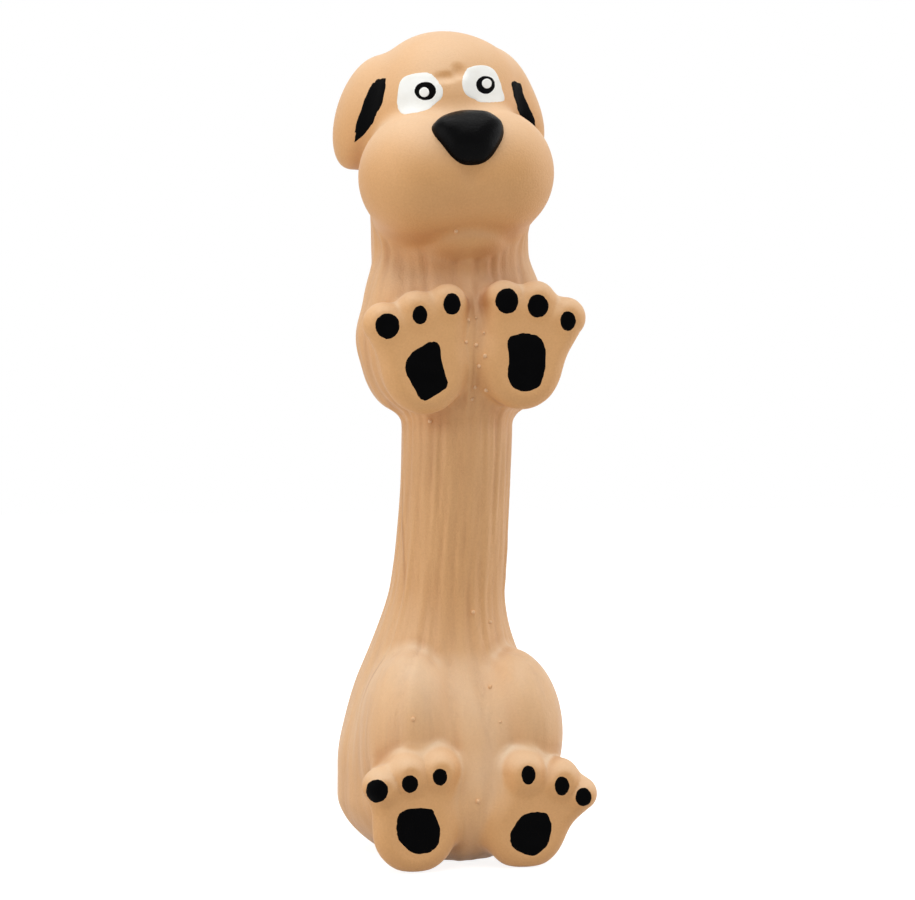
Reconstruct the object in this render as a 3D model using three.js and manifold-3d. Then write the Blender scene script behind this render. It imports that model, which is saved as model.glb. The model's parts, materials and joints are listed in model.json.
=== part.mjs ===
// A hollow latex dog toy with a squeaker in its base, sitting up and facing -Y, in millimetres.
// The origin is at the middle of the base, +Z runs up through the head and +X is the dog's left side.

import * as THREE from "three";
import { ConvexGeometry } from "three/addons/geometries/ConvexGeometry.js";
import { mergeVertices } from "three/addons/utils/BufferGeometryUtils.js";
import Module from "manifold-3d";

const wasm = await Module();
wasm.setup();

// Heights, one above the other from the base to the middle of the skull
const HIP_HEIGHT = 70;
const WAIST_LENGTH = 79;
const CHEST_HEIGHT = 45;
const SKULL_RISE = 53;

// Torso, whose sections are ellipses that shift back at the hips and the neck
const HIP_WIDTH = 75;
const HIP_DEPTH = 67;
const HIP_SET_BACK = 12;
const HIP_WIDEST_AT = 29;
const HIP_FLARE_PAST_CREASE = 21;
const SET_BACK_BELOW_CREASE = 10;
const BASE_EDGE = 16.5;
const BASE_EDGE_HEIGHT = 20;
const BELLY_WIDTH = 58;
const BELLY_DEPTH = 47;
const BELLY_HEIGHT = 84;
const BELLY_RISE = 24;
const BELLY_RELIEF = 5;
const WAIST_WIDTH = 37;
const WAIST_DEPTH = 37.2;
const WAIST_FORWARD = 2.5;
const WAIST_SPREAD = 3;
const WAIST_STRAIGHT_LENGTH = 24;
const WAIST_UPRIGHT_LENGTH = 3;
const CHEST_WIDTH = 55;
const CHEST_DEPTH = 47;
const CHEST_EDGE_HEIGHT = 14;
const BREAST_WIDTH = 50;
const BREAST_DEPTH = 42;
const BREAST_HEIGHT = 44;
const BREAST_RELIEF = 6;
const NECK_WIDTH = 54;
const NECK_DEPTH = 48;
const NECK_SET_BACK = 7;
const NECK_ABOVE_SHOULDER = 16;
const WAIST_INSIDE_CHEST = 22;

// Skin and clearances
const WALL = 2;
const BASE_WALL = 4;
const GAP = 0.3;
const SLIDE_GAP = 0.4;
const BALL_GAP = 0.4;
const BALL_MARGIN = 2.2;
const FILM = 0.5;
const FLAT_DEPTH = 0.5;
const CUT_PAST_FACE = 1;

// Flex points of the skin, measured from the hip crease and the shoulder line
const BEND_ABOVE_CREASE = 16;
const SWAY_ABOVE_BEND = 26;
const NOD_ABOVE_SHOULDER = 5;
const RIM_ABOVE_FLEX = 10;

// Head
const SKULL_WIDTH = 53;
const SKULL_DEPTH = 60;
const SKULL_HEIGHT = 66;
const SKULL_BEHIND_NECK = 1;
const DOME_WIDTH = 46;
const DOME_DEPTH = 46;
const DOME_HEIGHT = 36;
const DOME_RISE = 14;
const DOME_SET_BACK = 2;
const DOME_ASIDE = 4.5;
const HEAD_TURN = -2;
const HEAD_TILT = -5;
const MUZZLE_WIDTH = 64;
const MUZZLE_DEPTH = 44;
const MUZZLE_HEIGHT = 42;
const MUZZLE_FORWARD = 22;
const MUZZLE_DROP = 18.5;
const JOWL_WIDTH = 40;
const LIP_WIDTH = 20;
const LIP_DEPTH = 16;
const LIP_HEIGHT = 13;
const LIP_BEHIND_FRONT = 11;
const LIP_INTO_GROOVE = 1.5;
const NOSE_WIDTH = 25.4;
const NOSE_DEPTH = 16;
const NOSE_HEIGHT = 18.4;
const NOSE_TAPER = 0.32;
const NOSE_RISE = 11;
const EAR_WIDTH = 18;
const EAR_DEPTH = 28;
const EAR_LENGTH = 39;
const EAR_TILT = 21;
const EAR_SET_BACK = 8;
const EAR_SPACING = 52.4;
const EAR_ASIDE = 2.4;
const EAR_BELOW_CROWN = 6;
const EAR_LINING_LENGTH = 21;
const EAR_LINING_WIDTH = 5.4;
const EAR_LINING_SPACING = 53.6;
const EAR_LINING_RISE = 6.5;

// Eyes
const EYE_SPACING = 21.6;
const EYE_RISE = 9.5;
const EYE_WIDTH = 15.4;
const EYE_HEIGHT = 13.2;
const PUPIL_WIDTH = 7;
const PUPIL_HEIGHT = 6.2;
const SPOT_SIZE = 3.6;

// Forelegs, with the soles turned to the front
const ARM_WIDTH = 20;
const ARM_DEPTH = 32;
const ARM_LENGTH = 46;
const ARM_SPACING = 44;
const ARM_ABOVE_SHOULDER = 4;
const ARM_BEHIND_SOLE = 1;
const FOREPAW_RELIEF = 8.5;
const FOREPAW_HEEL_SPACING = 34.8;
const FOREPAW_HEEL_WIDTH = 26;
const FOREPAW_HEEL_HEIGHT = 28;
const FOREPAW_ABOVE_WAIST = 1.5;
const FOREPAW_PAD_WIDTH = 14;
const FOREPAW_PAD_HEIGHT = 20;

// Hind legs, with the thighs drawn up and the soles turned to the front
const THIGH_SPACING = 38.4;
const THIGH_WIDTH = 30;
const THIGH_DEPTH = 41;
const THIGH_LENGTH = 52;
const THIGH_LEAN = 5;
const THIGH_RELIEF = 7;
const HIND_PAW_RELIEF = 11;
const HIND_HEEL_SPACING = 36.6;
const HIND_HEEL_WIDTH = 28;
const HIND_HEEL_HEIGHT = 27;
const HIND_PAD_WIDTH = 14.4;
const HIND_PAD_HEIGHT = 15.4;

// Paws: how thick they stand, the rounding of the sole's rim, how broad a toe is at the heel, and the toes,
// each at a reach from the heel and an angle in degrees from upright to the dog's outer side
const PAW_THICKNESS = 20;
const PAW_RIM = 5.5;
const TOE_ROOT = 9.5;
const TOE_PAD_WIDTH = 5.6;
const TOE_PAD_HEIGHT = 6.6;
const FORE_TOE_RADIUS = 6.8;
const FORE_TOE_PAD_DROP = 1;
const HIND_TOE_RADIUS = 6.7;
const HIND_TOE_PAD_DROP = 1;
const FORE_TOES = {
  inner: { angle: -20.5, reach: 22.2 },
  middle: { angle: 8.5, reach: 19.5 },
  outer: { angle: 41.5, reach: 19.6 },
};
const HIND_TOES = {
  inner: { angle: -11.5, reach: 19.1 },
  middle: { angle: 24, reach: 18.5 },
  outer: { angle: 51, reach: 20.2 },
};

// Squeaker, pressed into the base from below
const CUP_RADIUS = 9;
const CUP_WALL = 1.4;
const CUP_HEIGHT = 18;
const CUP_FLOOR = 1.6;
const CUP_LIP = 3;
const CUP_FLANGE = 2.6;
const LIP_THICKNESS = 1.1;
const SOUND_HOLE_RADIUS = 2.4;
const PORT_RECESS = 0.5;
const CAP_THICKNESS = 1.4;
const CAP_PLUG_DEPTH = 2;
const CAP_HOLE_RADIUS = 1;
const CAP_HOLES = 6;
const CAP_HOLE_MARGIN = 1.7;
const REED_WIDTH = 5;
const REED_THICKNESS = 0.4;
const REED_LENGTH = 11;
const REED_CLAMP_HEIGHT = 3.4;
const REED_CHANNEL_WIDTH = 3.6;
const REED_CHANNEL_DEPTH = 2.6;
const BLOCK_BELOW_CAP = 1.3;

// Facets
const ROUND_STEPS = 22;
const LIMB_STEPS = 12;
const JOWL_STEPS = 18;
const BALL_STEPS = 36;
const EDGE_STEPS = 4;
const RIM_STEPS = 2;
const PATCH_STEPS = 8;
const HOLE_STEPS = 6;
const LEVEL_STEP = 11;
const PATCH_REACH = 40;
const WELD = 1e-4;

// Levels and middles that follow from the sizes above
const WAIST_TOP = HIP_HEIGHT + WAIST_LENGTH;
const SHOULDER = WAIST_TOP + CHEST_HEIGHT;
const SKULL_MIDDLE = new THREE.Vector3(0, NECK_SET_BACK + SKULL_BEHIND_NECK, SHOULDER + SKULL_RISE);
const CROWN = SKULL_MIDDLE.z + SKULL_HEIGHT / 2;

const latex = new THREE.MeshStandardMaterial({ color: 0xd9a878, roughness: 0.6, metalness: 0 });
const blackPaint = new THREE.MeshStandardMaterial({ color: 0x121214, roughness: 0.45, metalness: 0 });
const whitePaint = new THREE.MeshStandardMaterial({ color: 0xf6f5ee, roughness: 0.45, metalness: 0 });
const whistlePlastic = new THREE.MeshStandardMaterial({ color: 0xe9e7df, roughness: 0.4, metalness: 0 });
const reedFilm = new THREE.MeshStandardMaterial({ color: 0xd8c48a, roughness: 0.3, metalness: 0 });

// Turns a closed geometry into a solid that can be joined and cut.
function solidOf(geometry) {
  const bare = new THREE.BufferGeometry();
  bare.setAttribute("position", geometry.getAttribute("position"));
  if (geometry.getIndex()) bare.setIndex(geometry.getIndex());
  const merged = mergeVertices(bare, WELD);
  const corners = merged.getIndex().array;
  const triangles = [];
  for (let i = 0; i < corners.length; i += 3) {
    const [a, b, c] = [corners[i], corners[i + 1], corners[i + 2]];
    if (a !== b && b !== c && c !== a) triangles.push(a, b, c);
  }
  const vertProperties = new Float32Array(merged.getAttribute("position").array);
  const triVerts = new Uint32Array(triangles);
  return new wasm.Manifold(new wasm.Mesh({ numProp: 3, vertProperties, triVerts }));
}

// Gives a solid back as a named mesh.
function meshOf(solid, name, material) {
  const { vertProperties, triVerts } = solid.getMesh();
  const geometry = new THREE.BufferGeometry();
  geometry.setAttribute("position", new THREE.BufferAttribute(vertProperties, 3));
  geometry.setIndex(new THREE.BufferAttribute(triVerts, 1));
  geometry.computeVertexNormals();
  return namedMesh(geometry, name, material);
}

function namedMesh(geometry, name, material) {
  const mesh = new THREE.Mesh(geometry, material);
  mesh.name = name;
  return mesh;
}

// Eases from 0 to 1 between two heights.
function ease(z, low, high) {
  return THREE.MathUtils.smoothstep(z, low, high);
}

// How far an edge of the given size is drawn in at a height within its rounding.
function edgeInset(edge, height, z) {
  const left = THREE.MathUtils.clamp(1 - z / height, 0, 1);
  return edge * left * left;
}

// Section of the hips and waist at a height: half sizes and the y of its middle.
function lowerSection(z) {
  const flare = ease(z, HIP_WIDEST_AT, HIP_HEIGHT + HIP_FLARE_PAST_CREASE);
  const shift = ease(z, HIP_HEIGHT - SET_BACK_BELOW_CREASE, WAIST_TOP - WAIST_UPRIGHT_LENGTH);
  const spread = WAIST_SPREAD * (1 - ease(z, HIP_HEIGHT, WAIST_TOP - WAIST_STRAIGHT_LENGTH));
  const inset = edgeInset(BASE_EDGE, BASE_EDGE_HEIGHT, z);
  return {
    halfWidth: THREE.MathUtils.lerp(HIP_WIDTH, WAIST_WIDTH + spread, flare) / 2 - inset,
    halfDepth: THREE.MathUtils.lerp(HIP_DEPTH, WAIST_DEPTH + spread, flare) / 2 - inset,
    middle: THREE.MathUtils.lerp(HIP_SET_BACK, -WAIST_FORWARD, shift),
  };
}

// Section of the chest and neck at a height.
function upperSection(z) {
  const neck = SHOULDER + NECK_ABOVE_SHOULDER;
  const taper = ease(z, WAIST_TOP + CHEST_EDGE_HEIGHT, neck);
  const shift = ease(z, WAIST_TOP, neck);
  const width = THREE.MathUtils.lerp(CHEST_WIDTH, NECK_WIDTH, taper);
  const depth = THREE.MathUtils.lerp(CHEST_DEPTH, NECK_DEPTH, taper);
  const rimWidth = WAIST_WIDTH + 2 * (SLIDE_GAP + WALL);
  const rimDepth = WAIST_DEPTH + 2 * (SLIDE_GAP + WALL);
  const up = z - WAIST_TOP;
  return {
    halfWidth: width / 2 - edgeInset((width - rimWidth) / 2, CHEST_EDGE_HEIGHT, up),
    halfDepth: depth / 2 - edgeInset((depth - rimDepth) / 2, CHEST_EDGE_HEIGHT, up),
    middle: THREE.MathUtils.lerp(-WAIST_FORWARD, NECK_SET_BACK, shift),
  };
}

// Even steps from one height to another.
function levels(low, high) {
  const count = Math.ceil((high - low) / LEVEL_STEP);
  return Array.from({ length: count + 1 }, (_, i) => low + ((high - low) * i) / count);
}

// Heights through a rounded edge, from its foot to its full height, at even turns of its arc.
function edgeLevels(foot, height) {
  const turns = Array.from({ length: EDGE_STEPS + 1 }, (_, i) => (i / EDGE_STEPS) * (Math.PI / 2));
  return turns.map((turn) => foot + height * (1 - Math.cos(turn)));
}

// Closed form through elliptical sections at the given heights, grown outwards by a distance.
function loft(sectionAt, heights, grow) {
  const points = [];
  const index = [];
  heights.forEach((z) => {
    const { halfWidth, halfDepth, middle } = sectionAt(z);
    for (let i = 0; i < ROUND_STEPS; i += 1) {
      const angle = (2 * Math.PI * i) / ROUND_STEPS;
      const x = (halfWidth + grow) * Math.cos(angle);
      const y = middle + (halfDepth + grow) * Math.sin(angle);
      points.push(x, y, z);
    }
  });
  const bottom = points.length / 3;
  const top = bottom + 1;
  const last = bottom - ROUND_STEPS;
  points.push(0, sectionAt(heights[0]).middle, heights[0]);
  points.push(0, sectionAt(heights.at(-1)).middle, heights.at(-1));
  for (let i = 0; i < ROUND_STEPS; i += 1) {
    const next = (i + 1) % ROUND_STEPS;
    index.push(bottom, next, i, top, last + i, last + next);
    for (let ring = 0; ring < last; ring += ROUND_STEPS) {
      const [a, b] = [ring + i, ring + next];
      index.push(a, b, b + ROUND_STEPS, a, b + ROUND_STEPS, a + ROUND_STEPS);
    }
  }
  const geometry = new THREE.BufferGeometry();
  geometry.setAttribute("position", new THREE.Float32BufferAttribute(points, 3));
  geometry.setIndex(index);
  return solidOf(geometry);
}

// Ellipsoid of full width, depth and height about a middle, leaning sideways by an angle in degrees.
function ellipsoid(middle, [width, depth, height], grow, lean = 0, steps = LIMB_STEPS) {
  const geometry = new THREE.SphereGeometry(1, steps, steps / 2);
  geometry.rotateX(Math.PI / 2);
  geometry.scale(width / 2 + grow, depth / 2 + grow, height / 2 + grow);
  geometry.rotateY(THREE.MathUtils.degToRad(lean));
  geometry.translate(middle.x, middle.y, middle.z);
  return solidOf(geometry);
}

// Skin drawn tight over a set of balls, each a middle with a radius across and a radius in depth.
function drawnOver(balls) {
  const points = [];
  for (const { middle, across, deep, high } of balls) {
    const geometry = new THREE.SphereGeometry(1, LIMB_STEPS, LIMB_STEPS / 2);
    geometry.rotateX(Math.PI / 2);
    geometry.scale(across, deep, high);
    geometry.translate(middle.x, middle.y, middle.z);
    const position = geometry.getAttribute("position");
    for (let i = 0; i < position.count; i += 1) {
      points.push(new THREE.Vector3().fromBufferAttribute(position, i));
    }
  }
  return solidOf(new ConvexGeometry(points));
}

// Cushion drawn over round pads, each a middle with half sizes: level in front, with its rims rounded.
function cushion(pads, sole, grow) {
  const points = [];
  const front = sole - grow;
  const back = sole + PAW_THICKNESS + grow;
  for (const { x, z, across, high } of pads) {
    for (let rim = 0; rim <= RIM_STEPS; rim += 1) {
      const turn = ((rim / RIM_STEPS) * Math.PI) / 2;
      const inset = PAW_RIM * (1 - Math.sin(turn)) - grow;
      const depth = PAW_RIM * (1 - Math.cos(turn));
      for (let i = 0; i < LIMB_STEPS; i += 1) {
        const angle = (2 * Math.PI * i) / LIMB_STEPS;
        const [px, pz] = [x + (across - inset) * Math.cos(angle), z + (high - inset) * Math.sin(angle)];
        points.push(new THREE.Vector3(px, front + depth, pz), new THREE.Vector3(px, back - depth, pz));
      }
    }
  }
  return solidOf(new ConvexGeometry(points));
}

// Upright oval column along Y, for cutting a patch out of a layer that faces the front.
function patchColumn(x, z, width, height, back, lean = 0) {
  const outline = new THREE.Shape();
  outline.absellipse(0, 0, width / 2, height / 2, 0, 2 * Math.PI);
  const geometry = new THREE.ExtrudeGeometry(outline, {
    depth: PATCH_REACH,
    bevelEnabled: false,
    curveSegments: PATCH_STEPS,
  });
  geometry.rotateX(Math.PI / 2);
  geometry.rotateY(THREE.MathUtils.degToRad(lean));
  geometry.translate(x, back, z);
  return solidOf(geometry);
}

// Ball about a flex point.
function ball(middle, radius) {
  return ellipsoid(middle, [2 * radius, 2 * radius, 2 * radius], 0, 0, BALL_STEPS);
}

// Everything above a height.
function above(z) {
  const reach = 2 * CROWN;
  const geometry = new THREE.BoxGeometry(reach, reach, reach);
  geometry.translate(0, 0, z + reach / 2);
  return solidOf(geometry);
}

// Radius of a flex ball that stands proud of the skin all round its own level.
function ballRadius(sectionAt, middle) {
  const { halfWidth, halfDepth, middle: sectionMiddle } = sectionAt(middle.z);
  return Math.max(halfWidth, halfDepth + Math.abs(sectionMiddle - middle.y)) + BALL_MARGIN;
}

// Flex point on the torso's middle line, taken a little above its own level, where the rim is.
function flexPoint(sectionAt, z) {
  return new THREE.Vector3(0, sectionAt(z + RIM_ABOVE_FLEX).middle, z);
}

const bendPoint = flexPoint(lowerSection, HIP_HEIGHT + BEND_ABOVE_CREASE);
const swayPoint = flexPoint(lowerSection, bendPoint.z + SWAY_ABOVE_BEND);
const nodPoint = flexPoint(upperSection, SHOULDER + NOD_ABOVE_SHOULDER);
const bendRadius = ballRadius(lowerSection, bendPoint);
const swayRadius = ballRadius(lowerSection, swayPoint);
const nodRadius = ballRadius(upperSection, nodPoint);

// Keeps what lies above a flex ball's socket, or what lies under it.
const overBall = (solid, middle, radius) => solid.intersect(above(middle.z)).subtract(ball(middle, radius));
const underBall = (solid, middle, radius) =>
  solid.subtract(above(middle.z).subtract(ball(middle, radius - BALL_GAP)));

const portMiddle = new THREE.Vector3(0, HIP_SET_BACK, 0);
const lipRadius = CUP_RADIUS + CUP_LIP;
const pocketDepth = PORT_RECESS + LIP_THICKNESS + GAP;

// Upright round bar about the squeaker's axis.
function portBar(radius, low, high) {
  const geometry = new THREE.CylinderGeometry(radius, radius, high - low, ROUND_STEPS);
  geometry.rotateX(Math.PI / 2);
  geometry.translate(portMiddle.x, portMiddle.y, (low + high) / 2);
  return solidOf(geometry);
}

const waistEnd = WAIST_TOP + WAIST_INSIDE_CHEST;
const lowerHeights = [...edgeLevels(0, BASE_EDGE_HEIGHT), ...levels(HIP_WIDEST_AT, waistEnd)];
const hipFront = HIP_SET_BACK - HIP_DEPTH / 2;
const bellyMiddle = new THREE.Vector3(0, hipFront - BELLY_RELIEF + BELLY_DEPTH / 2, BELLY_RISE);

// Belly that fills the front between the thighs, level with the base.
const belly = (grow) =>
  ellipsoid(bellyMiddle, [BELLY_WIDTH, BELLY_DEPTH, BELLY_HEIGHT], grow, 0, ROUND_STEPS).intersect(above(0));
const lowerOuter = (grow) => loft(lowerSection, lowerHeights, grow).add(belly(grow));

// Straight tube of the waist's own section, which the chest's rim slides over.
const waistTube = (grow) => loft(() => lowerSection(WAIST_TOP), [WAIST_TOP - WALL, CROWN], grow);

// Hips and waist: one skin, parted at the two flex balls.
function lowerTorso() {
  const cavityHeights = [BASE_WALL, ...lowerHeights.filter((z) => z > BASE_WALL), waistEnd + CUT_PAST_FACE];
  const cavity = loft(lowerSection, cavityHeights, -WALL);
  const pocket = portBar(lipRadius + GAP, -CUT_PAST_FACE, pocketDepth);
  const port = portBar(CUP_RADIUS + GAP, -CUT_PAST_FACE, BASE_WALL + CUT_PAST_FACE);
  const skin = lowerOuter(0).subtract(cavity).subtract(pocket).subtract(port);
  const overBend = overBall(skin, bendPoint, bendRadius);
  return [
    meshOf(underBall(skin, bendPoint, bendRadius), "hip_shell", latex),
    meshOf(underBall(overBend, swayPoint, swayRadius), "lower_waist_shell", latex),
    meshOf(overBall(overBend, swayPoint, swayRadius), "upper_waist_shell", latex),
  ];
}

const chestHeights = edgeLevels(WAIST_TOP, CHEST_EDGE_HEIGHT);
const upperHeights = [...chestHeights, ...levels(chestHeights.at(-1) + LEVEL_STEP, SKULL_MIDDLE.z)];
const chestMiddleHeight = WAIST_TOP + CHEST_HEIGHT / 2;
const chestFront = upperSection(chestMiddleHeight).middle - CHEST_DEPTH / 2;
const breastMiddle = new THREE.Vector3(0, chestFront - BREAST_RELIEF + BREAST_DEPTH / 2, chestMiddleHeight);

// Breast that fills the front between the forepaws.
const breast = (grow) => ellipsoid(breastMiddle, [BREAST_WIDTH, BREAST_DEPTH, BREAST_HEIGHT], grow, 0, ROUND_STEPS);
const upperOuter = (grow) => loft(upperSection, upperHeights, grow).add(breast(grow));
const upperCavity = () => loft(upperSection, levels(WAIST_TOP + WALL, SKULL_MIDDLE.z - WALL), -WALL);

// Chest and neck up to the ball that the head nods on.
function chestShell() {
  const skin = upperOuter(0).subtract(upperCavity()).subtract(waistTube(SLIDE_GAP));
  return meshOf(underBall(skin, nodPoint, nodRadius), "chest_shell", latex);
}

const domeMiddle = SKULL_MIDDLE.clone().add(new THREE.Vector3(DOME_ASIDE, DOME_SET_BACK, DOME_RISE));

// Skull with the broad dome of its crown.
const skull = (grow) =>
  ellipsoid(SKULL_MIDDLE, [SKULL_WIDTH, SKULL_DEPTH, SKULL_HEIGHT], grow, 0, ROUND_STEPS).add(
    ellipsoid(domeMiddle, [DOME_WIDTH, DOME_DEPTH, DOME_HEIGHT], grow, 0, ROUND_STEPS),
  );
const headOuter = (grow) => skull(grow).add(upperOuter(grow));
const nodClearance = ball(nodPoint, nodRadius + GAP);

function headShell() {
  const skin = headOuter(0).subtract(skull(-WALL)).subtract(upperCavity());
  return meshOf(overBall(skin, nodPoint, nodRadius), "head_shell", latex);
}

const muzzleMiddle = new THREE.Vector3(0, SKULL_MIDDLE.y - MUZZLE_FORWARD, SKULL_MIDDLE.z - MUZZLE_DROP);

// Lower lip, whose top fills the groove under the meeting of the two jowls.
const jowlSpread = (MUZZLE_WIDTH - JOWL_WIDTH) / JOWL_WIDTH;
const lipForward = 1 - LIP_BEHIND_FRONT / (MUZZLE_DEPTH / 2);
const grooveDrop = (MUZZLE_HEIGHT / 2) * Math.sqrt(1 - jowlSpread ** 2 - lipForward ** 2);
const lipMiddle = new THREE.Vector3(
  0,
  muzzleMiddle.y - MUZZLE_DEPTH / 2 + LIP_BEHIND_FRONT,
  muzzleMiddle.z - grooveDrop + LIP_INTO_GROOVE - LIP_HEIGHT / 2,
);

// The two jowls of the broad round muzzle.
function jowls(grow) {
  const [left, right] = [1, -1].map((side) => {
    const middle = muzzleMiddle.clone();
    middle.x = (side * (MUZZLE_WIDTH - JOWL_WIDTH)) / 2;
    return ellipsoid(middle, [JOWL_WIDTH, MUZZLE_DEPTH, MUZZLE_HEIGHT], grow, 0, JOWL_STEPS);
  });
  return left.add(right);
}

// Muzzle with the lower lip under it.
const muzzle = (grow) => jowls(grow).add(ellipsoid(lipMiddle, [LIP_WIDTH, LIP_DEPTH, LIP_HEIGHT], grow));

function muzzleShell() {
  const shell = muzzle(0).subtract(headOuter(GAP)).subtract(nodClearance).subtract(jowls(-WALL));
  return meshOf(shell, "muzzle_shell", latex);
}

// Rounded triangle, broad at the top, seated on the front of the muzzle.
function nose() {
  const rise = NOSE_RISE / (MUZZLE_HEIGHT / 2);
  const seat = muzzleMiddle.y - (MUZZLE_DEPTH / 2) * Math.sqrt(1 - rise * rise);
  const geometry = new THREE.SphereGeometry(1, JOWL_STEPS, JOWL_STEPS / 2);
  const points = geometry.getAttribute("position");
  for (let i = 0; i < points.count; i += 1) {
    const below = (1 - points.getY(i)) / 2;
    points.setX(i, points.getX(i) * (1 - NOSE_TAPER * below * below));
  }
  geometry.rotateX(Math.PI / 2);
  geometry.scale(NOSE_WIDTH / 2, NOSE_DEPTH / 2, NOSE_HEIGHT / 2);
  geometry.translate(0, seat, muzzleMiddle.z + NOSE_RISE);
  return meshOf(solidOf(geometry).subtract(muzzle(GAP)), "nose", blackPaint);
}

// Hanging ear on one side; side is 1 for the dog's left and -1 for its right.
function ear(side, grow) {
  const middle = new THREE.Vector3(
    EAR_ASIDE + (side * EAR_SPACING) / 2,
    SKULL_MIDDLE.y + EAR_SET_BACK,
    CROWN - EAR_BELOW_CROWN - EAR_LENGTH / 2,
  );
  return ellipsoid(middle, [EAR_WIDTH, EAR_DEPTH, EAR_LENGTH], grow, -side * EAR_TILT);
}

// Layer of paint on a form, made from the form's own outline grown twice.
const paintOn = (form, lift) => form(lift + GAP + FILM).subtract(form(lift + GAP));

function earPieces(side, name) {
  const flap = ear(side, 0).subtract(headOuter(GAP)).subtract(muzzle(GAP)).subtract(nodClearance);
  const headAndEar = (grow) => skull(grow).add(ear(side, grow));
  const column = patchColumn(
    (side * EAR_LINING_SPACING) / 2,
    SKULL_MIDDLE.z + EAR_LINING_RISE,
    EAR_LINING_WIDTH,
    EAR_LINING_LENGTH,
    SKULL_MIDDLE.y + EAR_SET_BACK,
    -side * EAR_TILT,
  );
  const lining = paintOn(headAndEar, 0).intersect(column).subtract(muzzle(GAP));
  return [meshOf(flap, `${name}_ear`, latex), meshOf(lining, `${name}_ear_lining`, blackPaint)];
}

// White of the eye, black ring and white spot, one coat over another.
function eyePieces(side, name) {
  const x = (side * EYE_SPACING) / 2;
  const z = SKULL_MIDDLE.z + EYE_RISE;
  const column = (width, height) => patchColumn(x, z, width, height, SKULL_MIDDLE.y);
  const white = paintOn(skull, 0).intersect(column(EYE_WIDTH, EYE_HEIGHT));
  const overWhite = paintOn(skull, GAP + FILM);
  const ringHole = column(SPOT_SIZE + 2 * GAP, SPOT_SIZE + 2 * GAP);
  const ring = overWhite.intersect(column(PUPIL_WIDTH, PUPIL_HEIGHT)).subtract(ringHole);
  const spot = overWhite.intersect(column(SPOT_SIZE, SPOT_SIZE));
  return [
    meshOf(white.subtract(muzzle(GAP)), `${name}_eye_white`, whitePaint),
    meshOf(ring, `${name}_pupil`, blackPaint),
    meshOf(spot, `${name}_eye_spot`, whitePaint),
  ];
}

// Toes about the heel, as named offsets outwards and upwards.
function toesAt(places, radius) {
  return Object.entries(places).map(([name, { angle, reach }]) => {
    const turn = THREE.MathUtils.degToRad(angle);
    return { name, out: reach * Math.sin(turn), up: reach * Math.cos(turn), radius };
  });
}

const foreToes = toesAt(FORE_TOES, FORE_TOE_RADIUS);
const hindToes = toesAt(HIND_TOES, HIND_TOE_RADIUS);

// One paw: an oval heel with three toes drawn out of it, soles level at the front.
function paw(side, heel, [width, height], toes, grow) {
  const sole = heel.y - PAW_THICKNESS / 2;
  const { x, z } = heel;
  const root = { x, z, across: TOE_ROOT, high: TOE_ROOT };
  let form = cushion([{ x, z, across: width / 2, high: height / 2 }], sole, grow);
  for (const { out, up, radius } of toes) {
    const tip = { x: x + side * out, z: z + up, across: radius, high: radius };
    form = form.add(cushion([root, tip], sole, grow));
  }
  return form;
}

// Heel pad and toe pads painted on a sole.
function pawPads(side, heel, heelSize, toes, padSize, toePadDrop, name) {
  const layer = paintOn((grow) => paw(side, heel, heelSize, toes, grow), 0);
  const sole = heel.y - PAW_THICKNESS / 2;
  const heelColumn = patchColumn(heel.x, heel.z, ...padSize, heel.y);
  const pads = [meshOf(layer.intersect(heelColumn), `${name}_heel_pad`, blackPaint)];
  for (const { name: toe, out, up, radius } of toes) {
    const z = heel.z + up - toePadDrop;
    const column = patchColumn(heel.x + side * out, z, TOE_PAD_WIDTH, TOE_PAD_HEIGHT, sole + radius);
    pads.push(meshOf(layer.intersect(column), `${name}_${toe}_toe_pad`, blackPaint));
  }
  return pads;
}

function forelegPieces(side, name) {
  const heelSize = [FOREPAW_HEEL_WIDTH, FOREPAW_HEEL_HEIGHT];
  const heel = new THREE.Vector3(
    (side * FOREPAW_HEEL_SPACING) / 2,
    chestFront - FOREPAW_RELIEF + PAW_THICKNESS / 2,
    WAIST_TOP + FOREPAW_ABOVE_WAIST + FOREPAW_HEEL_HEIGHT / 2,
  );
  const shoulder = new THREE.Vector3(
    (side * ARM_SPACING) / 2,
    upperSection(chestMiddleHeight).middle,
    SHOULDER + ARM_ABOVE_SHOULDER - ARM_LENGTH / 2,
  );
  const wrist = PAW_THICKNESS / 2 - ARM_BEHIND_SOLE;
  const arm = drawnOver([
    { middle: shoulder, across: ARM_WIDTH / 2, deep: ARM_DEPTH / 2, high: ARM_LENGTH / 2 },
    { middle: heel, across: FOREPAW_HEEL_WIDTH / 2, deep: wrist, high: ARM_WIDTH / 2 },
  ]);
  const leg = arm.add(paw(side, heel, heelSize, foreToes, 0));
  const trimmed = leg.subtract(upperOuter(GAP)).subtract(waistTube(SLIDE_GAP));
  const padSize = [FOREPAW_PAD_WIDTH, FOREPAW_PAD_HEIGHT];
  const pads = pawPads(side, heel, heelSize, foreToes, padSize, FORE_TOE_PAD_DROP, `${name}_fore`);
  return [meshOf(trimmed, `${name}_foreleg`, latex), ...pads];
}

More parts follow.
